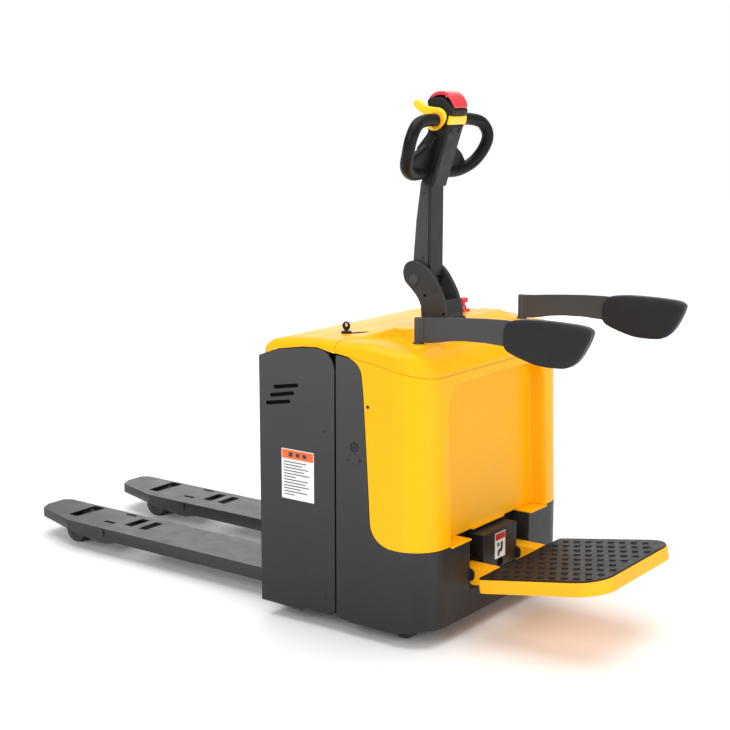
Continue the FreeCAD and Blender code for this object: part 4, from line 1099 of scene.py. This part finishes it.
COLUMN = rounded([(319, 948, 6), (352, 900, 8), (370, 914, 6), (371, 1181), (345, 1192), (330, 1085, 60)])
COLUMN_WIDTH = 54
skin("tiller_column", centred_mesh("column", COLUMN, COLUMN_WIDTH, 2), "tiller", "column_paint")
face_plate = rounded([(373, 928, 3), (382, 935, 3), (382.5, 1183, 2), (373, 1183)])
piece("column_face", centred_mesh("face", face_plate, 58, 1.6), "tiller", "fork_paint")
# Painted shade: a near-black core fills the gap between the column and its face plate.
core = rounded([(362, 925), (377, 930), (377, 1180), (362, 1180)])
piece("column_core", centred_mesh("core", core, 48, 1), "tiller", "black_and_painted_shade")
screws = [socket_screw((x, side * COLUMN_WIDTH / 2, z), 3) for side in SIDES.values()
          for x, z in ((357, 1160), (353, 985))]
piece("column_screws", joined_mesh(screws), "tiller", "zinc_screw")


# ---- tiller head

# How the head sits on its column: lean in degrees, x and z of its origin.
HEAD = (18.4, 389, 1187)
SPINE = rounded([
    (0, -8, 3), (0, 164, 2), (-5, 168, 2), (-5, 190, 2), (0, 195, 2), (0, 208, 6), (-45, 230, 30),
    (-84, 214, 8), (-88, 203, 8), (-79, 186, 10), (-59, 125, 20), (-80, 76, 12), (-78, 42, 6),
    (-36, 28, 4), (-36, -8, 3)])
HEAD_WIDTH = 62


def head_piece(name, mesh, body, material, replaces=(), angle=SMOOTH_ANGLE):
    """A piece drawn upright and then leant over with the tiller's head."""
    piece(name, leant(mesh, *HEAD), body, material, replaces, angle)


spine = centred_mesh("spine", SPINE, 74, 4)
head_piece("head_spine_skin", spine, "tiller", "black_plastic", ("head_spine",))
rear_cover = rounded([(-8, -9, 2), (2, -9, 2), (2, 160, 2), (-8, 164, 2)])
head_piece("head_rear_cover", centred_mesh("rear", rear_cover, HEAD_WIDTH, 2), "tiller", "dark_paint")
band = rounded([(-8, 166, 2), (0, 166, 3), (1.5, 178, 4), (0, 190, 3), (-8, 190, 2)])
head_piece("head_band", centred_mesh("band", band, 79, 2), "tiller", "lever_yellow")
cap = flowing([
    (-88, 209), (-87, 218), (-77, 231), (-61, 241), (-41, 245), (-21, 239), (-6, 227), (0, 214),
    (-5, 211), (-13, 219), (-24, 228), (-42, 234), (-60, 230), (-75, 220), (-82, 208)], 2)
head_piece("reverse_cap_skin", centred_mesh("cap", cap, HEAD_WIDTH, 3.5), "reverse_button", "button_red",
           ("reverse_button",))
WING = flowing([
    (-58, 197), (-36, 203), (-18, 198), (-9, 184), (-12, 164), (-24, 144), (-42, 136), (-58, 142),
    (-66, 158), (-80, 170), (-104, 174), (-120, 184), (-118, 198), (-102, 201), (-80, 193)], 2)
WING_IN, WING_OUT = 40, 53
HUB = [(0, 0), (0, 21), (3, 23), (9, 23), (12, 21), (12, 0)]
for label, side in SIDES.items():
    low = min(side * WING_IN, side * WING_OUT)
    blade = plate_mesh("blade", [WING], "XZ", low, WING_OUT - WING_IN, 4)
    hub = turned_mesh("hub", "Y", (-32, side * 50, 169), facing(side, HUB), 36)
    head_piece("lever_wing_" + label, blade, "throttle", "lever_yellow",
               ("throttle_lever",) if side < 0 else ())
    head_piece("lever_hub_" + label, hub, "throttle", "lever_orange")
# Each grip's path and web are drawn for the +Y side, as (x, y, z) and (y, z, radius).
GRIP_PATH = [
    (-30, 34, 168), (-31, 60, 170), (-30, 110, 170), (-20, 158, 162), (-8, 187, 132), (-6, 186, 94),
    (-14, 164, 50), (-24, 116, 24), (-32, 60, 19), (-34, 30, 19)]
GRIP_WEB = [(30, 2), (128, 22, 10), (140, 52, 10), (112, 74, 20), (66, 98, 20), (44, 132, 20), (30, 134)]
GRIP_R = 16.8
melted = (("REMESH", {"mode": "VOXEL", "voxel_size": 0.0022}), ("SMOOTH", {"factor": 0.6, "iterations": 6}))
for label, side in SIDES.items():
    loop = tube_mesh("loop", [(x, side * y, z) for x, y, z in GRIP_PATH], GRIP_R, 28, 9)
    web = plate_mesh("web", [rounded([(side * y, *rest) for y, *rest in GRIP_WEB])], "YZ", -46, 22, 6)
    head_piece(f"hand_grip_{label}_skin", bake(joined_mesh([loop, web]), *melted), "tiller", "grip_plastic",
               ("hand_grip_" + label,), 60)
screw = [(-2, 0), (-2, 3.4), (0.5, 3.4), (0.9, 2.6), (0.9, 0)]
screws = joined_mesh([turned_mesh("screw", "X", (0, y, 198.2), screw, 20) for y in (-20, 20)])
head_piece("head_screws", screws, "tiller", "zinc_screw")


# ---- stage, light and camera

FLOOR_REACH = 14000
corners = rectangle(-FLOOR_REACH, -FLOOR_REACH, FLOOR_REACH, FLOOR_REACH)
floor = linked("floor", mesh_from("floor", [(x, y, 0) for x, y in corners], [(0, 1, 2, 3)]))
floor.data.materials.append(surface("floor_paint", (0.90, 0.90, 0.90), 0.55, 0.01, 0.8, None, 0.04))

# Dim white light all round, in front of a backdrop that looks fully white.
WHITE, AMBIENT = (1, 1, 1, 1), 0.42
world = bpy.data.worlds.new("studio")
bpy.context.scene.world = world
world.use_nodes = True
tree = world.node_tree
lit = add_node(tree, "Background", {"Color": WHITE, "Strength": AMBIENT}, "Background")
backdrop = add_node(tree, "Background", {"Color": WHITE, "Strength": 1}, "Background")
seen = add_node(tree, "LightPath", {}, "Is Camera Ray")
shown = add_node(tree, "MixShader", {"Fac": seen, 1: lit, 2: backdrop}, "Shader")
tree.links.new(shown, tree.nodes["World Output"].inputs["Surface"])
bpy.context.scene.view_settings.view_transform = "Standard"

MIDDLE = Vector((0.1, 0, 0.6))


def studio_light(name, kind, place, strength, size):
    """Soft light aimed at the middle of the truck: a sun of some angle or a square area of some side."""
    data = bpy.data.lights.new(name, kind)
    data.energy = strength
    if kind == "SUN":
        data.angle = math.radians(size)
    else:
        data.size = size
    light = linked(name, data)
    light.location = place
    light.rotation_euler = (Vector(place) - MIDDLE).to_track_quat("Z", "Y").to_euler()


studio_light("top", "SUN", (-0.3, 0.4, 6), 2.1, 60)
studio_light("key", "SUN", (0.3, -5, 3.6), 1.5, 35)
studio_light("side_box", "AREA", (4.5, -0.5, 1.6), 55, 1.6)
studio_light("far_box", "AREA", (-2.5, 4.5, 1.9), 80, 5)

AZIMUTH, RISE = math.radians(36.32), math.radians(10.75)
back = Vector((math.sin(AZIMUTH) * math.cos(RISE), -math.cos(AZIMUTH) * math.cos(RISE), math.sin(RISE)))
camera_data = bpy.data.cameras.new("camera")
camera_data.lens = 74.27
camera_data.sensor_width = 36
camera = linked("camera", camera_data)
camera.location = (2.657, -3.428, 1.465)
camera.rotation_euler = (-back).to_track_quat("-Z", "Y").to_euler()
bpy.context.scene.camera = camera
